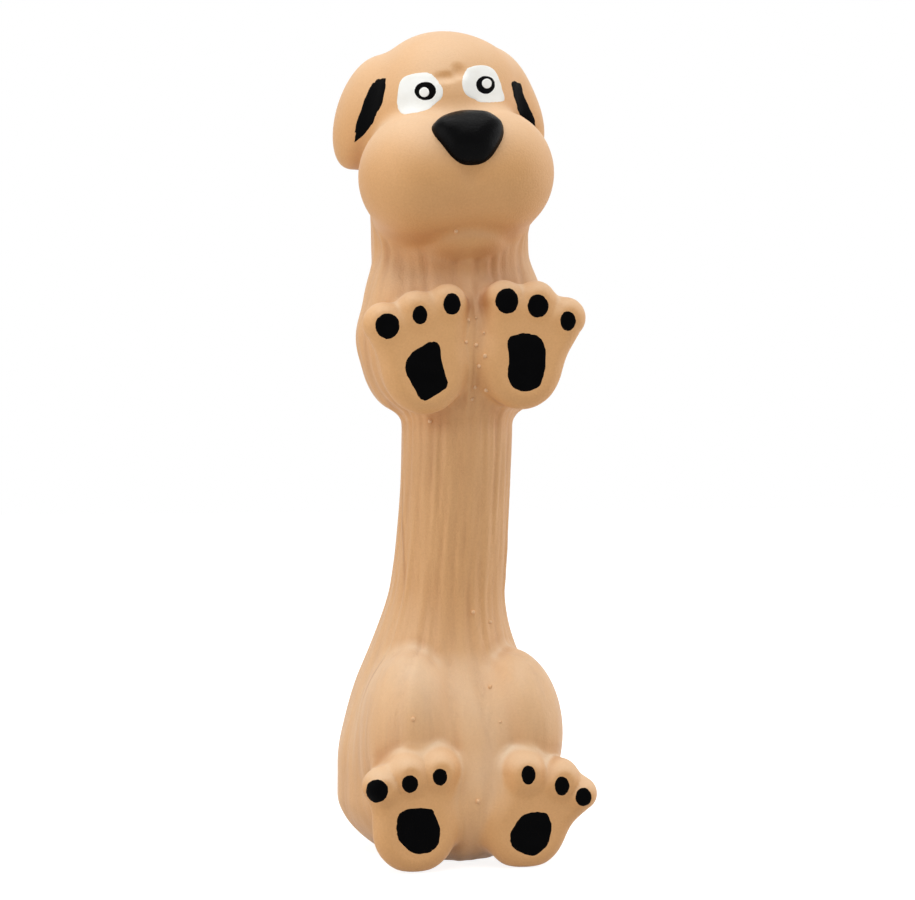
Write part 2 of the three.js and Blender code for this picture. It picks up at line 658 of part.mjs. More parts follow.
function hindLegPieces(side, name) {
  const heelSize = [HIND_HEEL_WIDTH, HIND_HEEL_HEIGHT];
  const heel = new THREE.Vector3(
    (side * HIND_HEEL_SPACING) / 2,
    hipFront - HIND_PAW_RELIEF + PAW_THICKNESS / 2,
    HIND_HEEL_HEIGHT / 2 - FLAT_DEPTH,
  );
  const thighMiddle = new THREE.Vector3(
    (side * THIGH_SPACING) / 2,
    hipFront - THIGH_RELIEF + THIGH_DEPTH / 2,
    HIP_HEIGHT - THIGH_LENGTH / 2,
  );
  const thigh = ellipsoid(thighMiddle, [THIGH_WIDTH, THIGH_DEPTH, THIGH_LENGTH], 0, side * THIGH_LEAN);
  const leg = thigh.add(paw(side, heel, heelSize, hindToes, 0));
  const trimmed = leg.subtract(lowerOuter(GAP)).intersect(above(0));
  const padSize = [HIND_PAD_WIDTH, HIND_PAD_HEIGHT];
  const pads = pawPads(side, heel, heelSize, hindToes, padSize, HIND_TOE_PAD_DROP, `${name}_hind`);
  return [meshOf(trimmed, `${name}_hind_leg`, latex), ...pads];
}

const cupBottom = PORT_RECESS;
const cupTop = cupBottom + CUP_HEIGHT;
const boreRadius = CUP_RADIUS - CUP_WALL;
const capRim = cupTop + GAP;
const plugBottom = capRim - CAP_PLUG_DEPTH;

// Cup of the squeaker: lip under the base wall, flange above it, sound hole in its floor.
function whistleCup() {
  const flangeLow = BASE_WALL + GAP;
  const flangeRadius = CUP_RADIUS + CUP_FLANGE;
  const profile = [
    [SOUND_HOLE_RADIUS, cupBottom],
    [lipRadius, cupBottom],
    [lipRadius, cupBottom + LIP_THICKNESS],
    [CUP_RADIUS, cupBottom + LIP_THICKNESS],
    [CUP_RADIUS, flangeLow],
    [flangeRadius, flangeLow],
    [flangeRadius, flangeLow + LIP_THICKNESS],
    [CUP_RADIUS, flangeLow + LIP_THICKNESS],
    [CUP_RADIUS, cupTop],
    [boreRadius, cupTop],
    [boreRadius, cupBottom + CUP_FLOOR],
    [SOUND_HOLE_RADIUS, cupBottom + CUP_FLOOR],
    [SOUND_HOLE_RADIUS, cupBottom],
  ];
  const geometry = new THREE.LatheGeometry(
    profile.map(([radius, z]) => new THREE.Vector2(radius, z)),
    ROUND_STEPS,
  );
  geometry.rotateX(Math.PI / 2);
  return namedMesh(geometry, "whistle_cup", whistlePlastic);
}

// Round plate with a ring of small holes about its middle.
function perforatedPlate(radius, low, high) {
  const plate = new THREE.Shape();
  plate.absarc(0, 0, radius, 0, 2 * Math.PI);
  for (let i = 0; i < CAP_HOLES; i += 1) {
    const angle = (2 * Math.PI * i) / CAP_HOLES;
    const ring = boreRadius - GAP - CAP_HOLE_MARGIN - CAP_HOLE_RADIUS;
    const hole = new THREE.Path();
    hole.absarc(ring * Math.cos(angle), ring * Math.sin(angle), CAP_HOLE_RADIUS, 0, 2 * Math.PI, true);
    plate.holes.push(hole);
  }
  const geometry = new THREE.ExtrudeGeometry(plate, {
    depth: high - low,
    bevelEnabled: false,
    curveSegments: HOLE_STEPS,
  });
  geometry.translate(0, 0, low);
  return geometry;
}

// Cap that closes the cup: a plate over its rim and a plug inside its bore.
function whistleCap() {
  const plate = solidOf(perforatedPlate(CUP_RADIUS, capRim, capRim + CAP_THICKNESS));
  const plug = solidOf(perforatedPlate(boreRadius - GAP, plugBottom, capRim + CAP_THICKNESS / 2));
  return meshOf(plate.add(plug), "whistle_cap", whistlePlastic);
}

const blockBottom = cupBottom + CUP_FLOOR + GAP;
const blockTop = plugBottom - BLOCK_BELOW_CAP;
const reedRoot = blockBottom + REED_CLAMP_HEIGHT;
const reedFace = REED_THICKNESS / 2 + GAP;

// Box between two corners, as a solid.
function boxSolid([x0, y0, z0], [x1, y1, z1]) {
  const geometry = new THREE.BoxGeometry(x1 - x0, y1 - y0, z1 - z0);
  geometry.translate((x0 + x1) / 2, (y0 + y1) / 2, (z0 + z1) / 2);
  return solidOf(geometry);
}

// Half-round halves that hold the reed between them: a block with an air channel, and a short clamp.
function reedHolder() {
  const radius = boreRadius - GAP;
  const halfBar = (low, high) => {
    const geometry = new THREE.CylinderGeometry(radius, radius, high - low, ROUND_STEPS);
    geometry.rotateX(Math.PI / 2);
    geometry.translate(0, 0, (low + high) / 2);
    return solidOf(geometry);
  };
  const reach = 2 * radius;
  const front = boxSolid([-reach, -reach, 0], [reach, -reedFace, cupTop]);
  const back = boxSolid([-reach, reedFace, 0], [reach, reach, cupTop]);
  const channel = boxSolid(
    [-REED_CHANNEL_WIDTH / 2, -reedFace - REED_CHANNEL_DEPTH, 0],
    [REED_CHANNEL_WIDTH / 2, reach, cupTop],
  );
  const block = halfBar(blockBottom, blockTop).intersect(front).subtract(channel);
  const clamp = halfBar(blockBottom, reedRoot).intersect(back);
  return [meshOf(block, "reed_block", whistlePlastic), meshOf(clamp, "reed_clamp", whistlePlastic)];
}

function reed() {
  const geometry = new THREE.BoxGeometry(REED_WIDTH, REED_THICKNESS, REED_LENGTH);
  geometry.translate(0, 0, blockBottom + REED_LENGTH / 2);
  return namedMesh(geometry, "reed", reedFilm);
}

// The squeaker's pieces share a group on the port's axis.
function squeaker() {
  const group = new THREE.Group();
  group.position.copy(portMiddle);
  group.add(whistleCup(), whistleCap(), ...reedHolder(), reed());
  return group;
}

// The head is set a little turned and tilted on its neck, about the point that it nods on.
function head() {
  const pieces = new THREE.Group();
  pieces.position.copy(nodPoint).negate();
  pieces.add(headShell(), muzzleShell(), nose());
  pieces.add(...earPieces(1, "left"), ...earPieces(-1, "right"));
  pieces.add(...eyePieces(1, "left"), ...eyePieces(-1, "right"));
  const set = new THREE.Group();
  set.position.copy(nodPoint);
  set.rotation.set(0, THREE.MathUtils.degToRad(HEAD_TILT), THREE.MathUtils.degToRad(HEAD_TURN));
  set.add(pieces);
  return set;
}

const toy = new THREE.Group();
toy.add(...lowerTorso(), chestShell(), head(), squeaker());
toy.add(...forelegPieces(1, "left"), ...forelegPieces(-1, "right"));
toy.add(...hindLegPieces(1, "left"), ...hindLegPieces(-1, "right"));

// The base's middle is the middle of the whole toy's box.
toy.updateMatrixWorld(true);
const box = new THREE.Box3().setFromObject(toy, true);
toy.position.set(-(box.min.x + box.max.x) / 2, -(box.min.y + box.max.y) / 2, 0);

export default toy;
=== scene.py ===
"""Dresses the squeaky dog toy: its moulded latex skin, its painted details and the press-in squeaker."""

import json
import logging
import math
from dataclasses import dataclass, field
from enum import Enum
from typing import Any, Optional, Sequence, Union

import bmesh
import bpy
import numpy as np
from mathutils import Matrix, Vector


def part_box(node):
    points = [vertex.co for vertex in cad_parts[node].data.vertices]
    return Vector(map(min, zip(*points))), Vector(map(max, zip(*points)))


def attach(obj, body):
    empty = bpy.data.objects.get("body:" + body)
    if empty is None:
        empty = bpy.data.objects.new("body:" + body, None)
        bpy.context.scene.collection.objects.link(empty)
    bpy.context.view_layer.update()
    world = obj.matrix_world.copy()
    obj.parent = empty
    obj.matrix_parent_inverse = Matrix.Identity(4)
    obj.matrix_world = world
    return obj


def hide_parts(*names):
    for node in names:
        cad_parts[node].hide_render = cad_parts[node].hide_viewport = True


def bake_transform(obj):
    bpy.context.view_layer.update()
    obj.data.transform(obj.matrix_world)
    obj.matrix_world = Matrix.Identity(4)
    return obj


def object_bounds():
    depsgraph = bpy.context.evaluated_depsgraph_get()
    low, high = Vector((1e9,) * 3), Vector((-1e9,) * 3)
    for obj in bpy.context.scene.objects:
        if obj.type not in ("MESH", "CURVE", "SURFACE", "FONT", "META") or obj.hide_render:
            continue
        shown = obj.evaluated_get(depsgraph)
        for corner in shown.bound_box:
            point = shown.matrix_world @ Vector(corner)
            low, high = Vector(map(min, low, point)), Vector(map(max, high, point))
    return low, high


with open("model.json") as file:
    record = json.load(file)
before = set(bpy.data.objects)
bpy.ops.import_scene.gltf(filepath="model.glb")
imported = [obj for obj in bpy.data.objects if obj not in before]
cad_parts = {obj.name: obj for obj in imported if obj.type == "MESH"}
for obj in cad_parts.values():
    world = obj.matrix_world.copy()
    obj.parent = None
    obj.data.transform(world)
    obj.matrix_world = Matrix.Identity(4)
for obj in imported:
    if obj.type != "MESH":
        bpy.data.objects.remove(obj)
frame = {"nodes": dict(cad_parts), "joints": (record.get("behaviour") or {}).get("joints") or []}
CAD_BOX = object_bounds()

log = logging.getLogger("dog_toy")
MM = 0.001
UP = np.array([0.0, 0.0, 1.0])
# Keeps points off the exact middle of a form, where its distance has no slope.
OFF_MIDDLE = 1e-6

Array = np.ndarray
Pair = tuple[float, float]
Triple = tuple[float, float, float]
Span = tuple[float, float, float, float]
Tone = tuple[int, int, int]
Value = Union[float, "Wire"]


class Body(str, Enum):
    """The frame's bodies that carry pieces."""

    HIPS = "hips"
    LOWER_WAIST = "lower_waist"
    UPPER_WAIST = "upper_waist"
    CHEST = "chest"
    HEAD = "head"


class Slot(str, Enum):
    """The record's material slots."""

    LATEX = "latex"
    BLACK_PAINT = "black_paint"
    WHITE_PAINT = "white_paint"


class Side(Enum):
    """The dog's own two sides, as the sign of X."""

    LEFT = 1
    RIGHT = -1

    @property
    def label(self) -> str:
        """The side's name as the nodes spell it."""
        return self.name.lower()


class Wire:
    """A socket in a node tree, on which arithmetic adds Math nodes."""

    def __init__(self, nodes: "Nodes", socket: Optional[bpy.types.NodeSocket]) -> None:
        """Holds the nodes and the socket that the value comes from."""
        self.nodes = nodes
        self.socket = socket

    def math(self, operation: str, other: Value) -> "Wire":
        """The result of a Math node on this value and another."""
        return self.nodes.node("ShaderNodeMath", {"operation": operation}, {0: self, 1: other})

    def __add__(self, other: Value) -> "Wire":
        """Adds a value, from either side."""
        return self.math("ADD", other)

    def __mul__(self, other: Value) -> "Wire":
        """Multiplies by a value, from either side."""
        return self.math("MULTIPLY", other)

    __radd__ = __add__
    __rmul__ = __mul__


class Nodes:
    """A node tree to which nodes are added one by one."""

    def __init__(self, tree: bpy.types.NodeTree) -> None:
        """Holds the tree."""
        self.tree = tree

    def node(
        self,
        kind: str,
        settings: Optional[dict[str, Any]] = None,
        sockets: Optional[dict[Union[str, int], Any]] = None,
        output: Union[str, int] = 0,
    ) -> Wire:
        """Adds any node.

        Args:
            kind: The node's type.
            settings: Its properties, set first; "ends" holds the ends of a ramp from black to white.
            sockets: The value or wire of each input, by name or number.
            output: The output that is wanted.

        Returns:
            The wanted output, or an empty wire from a node that has none.
        """
        made = self.tree.nodes.new(kind)
        for key, value in (settings or {}).items():
            if key == "ends":
                for element, position in zip(made.color_ramp.elements, value):
                    element.position = position
            else:
                setattr(made, key, value)
        for key, value in (sockets or {}).items():
            self.feed(made.inputs[key], value)
        return Wire(self, made.outputs[output] if len(made.outputs) else None)

    def feed(self, socket: bpy.types.NodeSocket, value: Any) -> None:
        """Links a wire to a socket or sets its plain value.

        Args:
            socket: The input to feed.
            value: The wire or the value.
        """
        if isinstance(value, Wire):
            self.tree.links.new(value.socket, socket)
        else:
            socket.default_value = value


@dataclass(frozen=True)
class Pattern:
    """A noise: its repeats in a metre along X, Y and Z, its finer layers and the ends of its ramp."""

    per_metre: Triple
    detail: float = 2.0
    ends: Pair = (0.3, 0.7)


class Shader(Nodes):
    """A material and its node tree."""

    def __init__(self, name: str) -> None:
        """Makes the material with its Principled shader.

        Args:
            name: The material's name.
        """
        self.material = bpy.data.materials.new(name)
        self.material.use_nodes = True
        super().__init__(self.material.node_tree)
        self.surface = self.tree.nodes["Principled BSDF"]

    def mix(self, factor: Value, first: Any, second: Any) -> Wire:
        """Mixes two colours.

        Args:
            factor: The share of the second colour.
            first: A colour or a wire.
            second: A colour or a wire.

        Returns:
            The mixed colour.
        """
        factor_socket, first_socket, second_socket, result_socket = 0, 6, 7, 2
        sockets = {factor_socket: factor, first_socket: first, second_socket: second}
        return self.node("ShaderNodeMix", {"data_type": "RGBA"}, sockets, result_socket)

    def attribute(self, name: str) -> Wire:
        """The piece's own point attribute of that name."""
        return self.node("ShaderNodeAttribute", {"attribute_name": name}, output="Fac")

    def noise(self, pattern: Pattern) -> Wire:
        """Noise on the piece's own coordinates.

        Args:
            pattern: What the noise looks like.

        Returns:
            The noise as a grey level.
        """
        place = self.node("ShaderNodeTexCoord", output="Object")
        place = self.node("ShaderNodeMapping", sockets={"Vector": place, "Scale": pattern.per_metre})
        sockets = {"Vector": place, "Scale": 1.0, "Detail": pattern.detail}
        raw = self.node("ShaderNodeTexNoise", sockets=sockets)
        return self.node("ShaderNodeValToRGB", {"ends": pattern.ends}, {"Fac": raw})

    def bump(self, height: Wire, distance: float, strength: float) -> None:
        """Feeds the surface's normal from a height.

        Args:
            height: The height pattern.
            distance: The height in metres of one unit of the pattern.
            strength: The share of the relief that is used.
        """
        sockets = {"Height": height, "Distance": distance, "Strength": strength}
        self.dress({"Normal": self.node("ShaderNodeBump", sockets=sockets)})

    def dress(self, sockets: dict[str, Any]) -> None:
        """Sets or links the Principled shader's sockets."""
        for key, value in sockets.items():
            self.feed(self.surface.inputs[key], value)


def srgb(tone: Tone) -> tuple[float, float, float, float]:
    """Turns an 8-bit display colour into a linear one with full alpha."""
    levels = (((level / 255 + 0.055) / 1.055) ** 2.4 for level in tone)
    return (*levels, 1.0)


@dataclass(frozen=True)
class LatexFinish:
    """Tan latex: vertical mould streaks, painted shade in the creases, and a pale bloom with painted
    highlight on raised rims and upward-facing skin.
    """

    skin: Tone = (231, 175, 114)
    streak: Tone = (205, 146, 90)
    # Painted shade: a darker, warmer colour laid into the creases and hollows.
    crease: Tone = (186, 124, 72)
    # Pale bloom colour, which also serves as painted highlight on raised rims and upward-facing skin.
    bloom: Tone = (243, 218, 186)
    seam: Tone = (176, 122, 78)
    streaks: Pattern = Pattern((560.0, 560.0, 46.0), 3.0, (0.36, 0.68))
    bands: Pattern = Pattern((190.0, 190.0, 16.0), 3.0, (0.38, 0.66))
    clouds: Pattern = Pattern((42.0, 42.0, 26.0), 4.0, (0.32, 0.72))
    grains: Pattern = Pattern((1500.0, 1500.0, 1500.0))
    streak_share: float = 0.35
    band_share: float = 0.45
    cloud_share: float = 0.2
    grain_share: float = 0.24
    bloom_share: float = 0.4
    crease_share: float = 0.7
    seam_share: float = 0.8
    roughness: float = 0.48
    uneven: float = 0.1
    uneven_grain: float = 0.05
    grain_height: float = 0.4

    def material(self) -> bpy.types.Material:
        """Makes the latex.

        Returns:
            The material, which reads the skin's attributes: the painted shade of its creases, its pale bloom
            and painted highlight, its flutes and its seam.
        """
        shader = Shader("latex_finish")
        patterns = (self.streaks, self.bands, self.clouds, self.grains)
        streak, band, cloud, grain = (shader.noise(pattern) for pattern in patterns)
        names = ("crease", "ridge", "flute", "seam")
        crease, ridge, flute, seam = (shader.attribute(name) for name in names)
        worn = (streak * self.streak_share + band * self.band_share) * flute
        worn = worn + cloud * self.cloud_share + grain * self.grain_share
        # Pale bloom and painted highlight: the mask lightens rims, upward-facing skin and the lower trunk.
        bloom_and_highlight_amount = ridge * (self.bloom_share + cloud * self.bloom_share)
        colour = shader.mix(worn, srgb(self.skin), srgb(self.streak))
        colour = shader.mix(bloom_and_highlight_amount, colour, srgb(self.bloom))
        # Painted shade: the crease colour goes where the crease mask finds hollows.
        colour = shader.mix(crease * self.crease_share, colour, srgb(self.crease))
        colour = shader.mix(seam * band * self.seam_share, colour, srgb(self.seam))
        roughness = self.roughness + cloud * self.uneven + crease * self.uneven + grain * self.uneven_grain
        shader.dress({"Base Color": colour, "Roughness": roughness, "Specular IOR Level": 0.5})
        shader.dress({"Sheen Weight": 0.1, "Sheen Roughness": 0.4})
        shader.bump(grain * self.grain_height + streak * flute, distance=0.00025, strength=0.6)
        return shader.material


@dataclass(frozen=True)
class PaintFinish:
    """Flexible paint: brushed unevenness, a satin coat and a little wear."""

    name: str
    colour: Tone
    worn: Tone
    roughness: float
    wear_share: float
    shine: float
    clouds: Pattern = Pattern((210.0, 210.0, 210.0), 4.0, (0.4, 0.75))
    grains: Pattern = Pattern((1300.0, 1300.0, 1300.0))
    uneven: float = 0.12
    uneven_grain: float = 0.06
    grain_height: float = 0.5

    def material(self) -> bpy.types.Material:
        """Makes the paint.

        Returns:
            The material.
        """
        shader = Shader(self.name)
        cloud, grain = shader.noise(self.clouds), shader.noise(self.grains)
        colour = shader.mix(cloud * self.wear_share, srgb(self.colour), srgb(self.worn))
        roughness = self.roughness + cloud * self.uneven + grain * self.uneven_grain
        shader.dress({"Base Color": colour, "Roughness": roughness, "Specular IOR Level": self.shine})
        shader.bump(grain * self.grain_height + cloud, distance=0.00012, strength=0.5)
        return shader.material


@dataclass(frozen=True)
class PlasticFinish:
    """Moulded off-white plastic of the squeaker."""

    colour: Tone = (236, 233, 224)
    shade: Tone = (216, 211, 197)
    flows: Pattern = Pattern((160.0, 160.0, 60.0), 3.0, (0.35, 0.7))
    grains: Pattern = Pattern((2200.0, 2200.0, 2200.0))
    shade_share: float = 0.6
    roughness: float = 0.34
    uneven: float = 0.12

    def material(self) -> bpy.types.Material:
        """Makes the plastic.

        Returns:
            The material.
        """
        shader = Shader("whistle_plastic_finish")
        flow, grain = shader.noise(self.flows), shader.noise(self.grains)
        colour = shader.mix(flow * self.shade_share, srgb(self.colour), srgb(self.shade))
        shader.dress({"Base Color": colour, "Roughness": self.roughness + grain * self.uneven})
        shader.bump(grain, distance=0.00005, strength=0.4)
        return shader.material


@dataclass(frozen=True)
class FilmFinish:
    """Amber film of the squeaker's reed."""

    colour: Tone = (222, 199, 146)
    edge: Tone = (190, 160, 104)
    lines: Pattern = Pattern((900.0, 120.0, 900.0), 2.0, (0.35, 0.7))
    roughness: float = 0.16
    uneven: float = 0.1

    def material(self) -> bpy.types.Material:
        """Makes the film.

        Returns:
            The material.
        """
        shader = Shader("reed_film_finish")
        line = shader.noise(self.lines)
        colour = shader.mix(line, srgb(self.colour), srgb(self.edge))
        roughness = self.roughness + line * self.uneven
        shader.dress({"Base Color": colour, "Roughness": roughness, "Coat Weight": 0.3})
        return shader.material


def ramp(low: float, high: float, value: Array) -> Array:
    """Rises smoothly from 0 where the value is low to 1 where it is high."""
    share = np.clip((value - low) / (high - low), 0.0, 1.0)
    return share * share * (3.0 - 2.0 * share)


def plateau(span: Span, value: Array) -> Array:
    """Rises from the span's first value to its second, and falls from its third to its fourth."""
    low, low_full, high_full, high = span
    return ramp(low, low_full, value) * (1.0 - ramp(high_full, high, value))


def merge(first: Array, second: Array, radius: float) -> Array:
    """Joins two forms, given by their distances, with a soft fillet of that radius."""
    overlap = np.maximum(radius - np.abs(first - second), 0.0) / radius
    return np.minimum(first, second) - overlap * overlap * radius * 0.25


def carve(form: Array, tool: Array, radius: float) -> Array:
    """Cuts a tool out of a form, with a softened edge of that radius."""
    return -merge(-form, tool, radius)


def turn(angle_deg: float, axis: str) -> Array:
    """A turning matrix about X, Y or Z."""
    return np.array(Matrix.Rotation(math.radians(angle_deg), 3, axis))


def limb(points: Array, start: Sequence[float], end: Sequence[float], radii: Pair) -> Array:
    """Distance to a round limb that tapers from one point to another.

    Args:
        points: Points in millimetres.
        start: The middle of the first end.
        end: The middle of the second end.
        radii: The radius at each end.

    Returns:
        The distance from each point, negative inside.
    """
    root = np.asarray(start, float)
    axis = np.asarray(end, float) - root
    share = np.clip((points - root) @ axis / (axis @ axis), 0.0, 1.0)
    away = np.linalg.norm(points - root - share[:, None] * axis, axis=1)
    return away - radii[0] - (radii[1] - radii[0]) * share


def joint_place(name: str) -> Array:
    """Where a joint's axis passes, in the row frame, in millimetres."""
    found = next(joint for joint in frame["joints"] if joint["name"] == name)
    return np.array(found["pos_m"]) / MM


@dataclass(frozen=True)
class Lobe:
    """An ellipsoid, or an ellipse where the points are flat, by its middle and full lengths."""

    centre: tuple[float, ...]
    size: tuple[float, ...]
    tilt_deg: float = 0.0

    def distance(self, points: Array) -> Array:
        """Distance to the lobe.

        Args:
            points: Points in millimetres.

        Returns:
            About the distance from each point, negative inside.
        """
        half = np.asarray(self.size) / 2
        offset = points - np.asarray(self.centre)
        if self.tilt_deg:
            offset = offset @ turn(self.tilt_deg, "Y")
        offset = offset + OFF_MIDDLE
        near = np.linalg.norm(offset / half, axis=1)
        slope = np.linalg.norm(offset / half**2, axis=1)
        return near * (near - 1.0) / slope


@dataclass
class Trunk:
    """The long body: rounded hips, slim waist, chest and neck."""

    hip_width: float = 75.0
    hip_depth: float = 67.0
    hip_middle_y: float = 12.0
    waist_width: float = 37.0
    waist_depth: float = 37.2
    waist_spread: float = 3.0
    waist_middle_y: float = -2.5
    chest_width: float = 55.0
    chest_depth: float = 47.0
    neck_width: float = 54.0
    neck_depth: float = 48.0
    neck_middle_y: float = 7.0
    base_round: float = 20.0
    base_inset: float = 16.5
    base_curve: float = 2.0
    flare: Pair = (30.0, 92.0)
    taper: Pair = (70.0, 125.0)
    lean: Pair = (60.0, 146.0)
    swell: Pair = (146.0, 165.0)
    rise: Pair = (163.0, 210.0)
    dome: Pair = (215.0, 246.0)
    sway: float = -1.2
    sway_span: Span = (42.0, 62.0, 74.0, 104.0)

    def middle(self, height: Array) -> Array:
        """The Y of the trunk's middle line.

        Args:
            height: Heights in millimetres.

        Returns:
            The Y at each height.
        """
        lean, rise = ramp(*self.lean, height), ramp(*self.rise, height)
        waist = self.hip_middle_y + (self.waist_middle_y - self.hip_middle_y) * lean
        return waist + (self.neck_middle_y - self.waist_middle_y) * rise

    def distance(self, points: Array) -> Array:
        """Distance to the trunk.

        Args:
            points: Points in millimetres.

        Returns:
            About the distance from each point, negative inside.
        """
        height = points[:, 2]
        flare, swell, rise = (ramp(*span, height) for span in (self.flare, self.swell, self.rise))
        slope = np.clip(1.0 - height / self.base_round, 0.0, 1.0)
        inset = self.base_inset * slope**self.base_curve
        spread = self.waist_spread * (1.0 - ramp(*self.taper, height))
        width = self.hip_width + (self.waist_width + spread - self.hip_width) * flare
        depth = self.hip_depth + (self.waist_depth + spread - self.hip_depth) * flare
        width = width + (self.chest_width - self.waist_width) * swell
        width = width + (self.neck_width - self.chest_width) * rise
        depth = depth + (self.chest_depth - self.waist_depth) * swell
        depth = depth + (self.neck_depth - self.chest_depth) * rise
        half = np.stack([width / 2 - inset, depth / 2 - inset], axis=1)
        across = points[:, 0] - self.sway * plateau(self.sway_span, height)
        offset = np.stack([across, points[:, 1] - self.middle(height)], axis=1) + OFF_MIDDLE
        low, high = self.dome
        share = np.clip((height - low) / (high - low), 0.0, 0.999)
        half = half * np.sqrt(1.0 - share * share)[:, None]
        near = np.linalg.norm(offset / half, axis=1)
        steep = np.linalg.norm(offset / half**2, axis=1)
        return np.maximum(near * (near - 1.0) / steep, height - high)


@dataclass
class Paw:
    """A paw whose flat sole faces forwards: a heel and three toes, each with its place and radius."""

    side: Side
    sole: float
    heel: Lobe
    toes: tuple[Triple, ...]
    toe_root: float = 9.5
    toe_swell: float = 0.4
    cushion_span: Pair = (0.4, 1.15)
    thickness: float = 20.0
    rim: float = 5.0
    web: float = 4.0
    draft: float = 0.3

    def distance(self, points: Array) -> Array:
        """Distance to the paw.

        Args:
            points: Points in millimetres.

        Returns:
            The distance from each point, negative inside.
        """
        plan = np.stack([points[:, 0] * self.side.value, points[:, 2]], axis=1)
        outline = self.heel.distance(plan)
        cushion = np.zeros(len(points))
        for across, up, radius in self.toes:
            toe = limb(plan, self.heel.centre, (across, up), (self.toe_root, radius))
            outline = merge(outline, toe, self.web)
            spread = np.linalg.norm(plan - (across, up), axis=1) / radius
            cushion = np.maximum(cushion, self.toe_swell * (1.0 - ramp(*self.cushion_span, spread)))
        outline = outline + self.draft * np.maximum(points[:, 1] - self.sole - self.rim, 0.0)
        layer = np.abs(points[:, 1] - self.sole + cushion - self.thickness / 2) - self.thickness / 2
        flat = np.stack([outline, layer], axis=1) + self.rim
        return np.minimum(flat.max(axis=1), 0.0) + np.linalg.norm(np.maximum(flat, 0.0), axis=1) - self.rim


@dataclass
class Head:
    """The head before its turn about the neck: skull, big round muzzle, lip, frown and hanging ears."""

    skull: Lobe = Lobe((0.0, 8.0, 246.4), (53.0, 60.0, 64.0))
    crown: Lobe = Lobe((7.0, 10.0, 260.4), (46.0, 46.0, 35.0))
    jowl: Lobe = Lobe((12.8, -14.0, 228.5), (40.0, 44.0, 42.0))
    lip: Lobe = Lobe((1.0, -17.6, 206.0), (18.0, 10.0, 7.0))
    frown: tuple[Lobe, ...] = (
        Lobe((-2.4, -19.9, 260.9), (8.0, 3.6, 3.0)),
        Lobe((3.2, -18.8, 263.2), (4.2, 3.6, 5.2)),
    )
    ear: Lobe = Lobe((26.2, 16.0, 254.5), (18.0, 28.0, 39.0), -21.0)
    ear_middle_x: float = 2.4
    nose_groove: Lobe = Lobe((0.0, -38.4, 226.5), (5.0, 5.0, 7.0))
    crown_lean_deg: float = -5.0
    face_turn_deg: float = -2.0
    crown_fillet: float = 8.0
    muzzle_fillet: float = 15.0
    skull_fillet: float = 4.5
    lip_fillet: float = 6.0
    ear_fillet: float = 7.0
    frown_edge: float = 2.0
    groove_edge: float = 4.0

    def unturned(self, points: Array, pivot: Array) -> Array:
        """Takes the head's turn about the neck off the points."""
        lean = turn(self.crown_lean_deg, "Y") @ turn(self.face_turn_deg, "Z")
        return (points - pivot) @ lean + pivot

    def distance(self, points: Array) -> Array:
        """Distance to the head.

        Args:
            points: Points in millimetres, with the head's turn taken off.

        Returns:
            About the distance from each point, negative inside.
        """
        jowls = (self.jowl.distance(points * (sign, 1.0, 1.0)) for sign in (1.0, -1.0))
        skull = merge(self.skull.distance(points), self.crown.distance(points), self.crown_fillet)
        form = merge(skull, merge(*jowls, self.muzzle_fillet), self.skull_fillet)
        form = merge(form, self.lip.distance(points), self.lip_fillet)
        for dent in self.frown:
            form = carve(form, dent.distance(points), self.frown_edge)
        across = np.abs(points[:, 0] - self.ear_middle_x)
        flap = self.ear.distance(np.stack([across, points[:, 1], points[:, 2]], axis=1))
        form = merge(form, flap, self.ear_fillet)
        return carve(form, self.nose_groove.distance(points), self.groove_edge)


@dataclass
class Flutes:
    """Soft vertical flutes round the trunk, which wander a little on their way up."""

    counts: tuple[int, ...] = (17, 26, 35, 47)
    heights: tuple[float, ...] = (0.18, 0.16, 0.12, 0.06)
    phases: tuple[float, ...] = (0.4, 2.1, 4.4, 5.2)
    wander: float = 1.3
    wander_length: float = 23.0
    swell_length: float = 9.0

    def height(self, points: Array, middle: Array) -> Array:
        """Height of the flutes.

        Args:
            points: Points in millimetres.
            middle: The Y of the trunk's middle line at each point.

        Returns:
            The height at each point, above or below the plain form.
        """
        angle = np.arctan2(points[:, 0], middle - points[:, 1])
        total = np.zeros(len(points))
        for count, height, phase in zip(self.counts, self.heights, self.phases):
            drift = self.wander * np.sin(points[:, 2] / self.wander_length + phase)
            swell = 0.6 + 0.4 * np.sin(points[:, 2] / self.swell_length + 5 * angle + 2 * phase)
            total += height * swell * np.cos(count * angle + phase + drift)
        return total


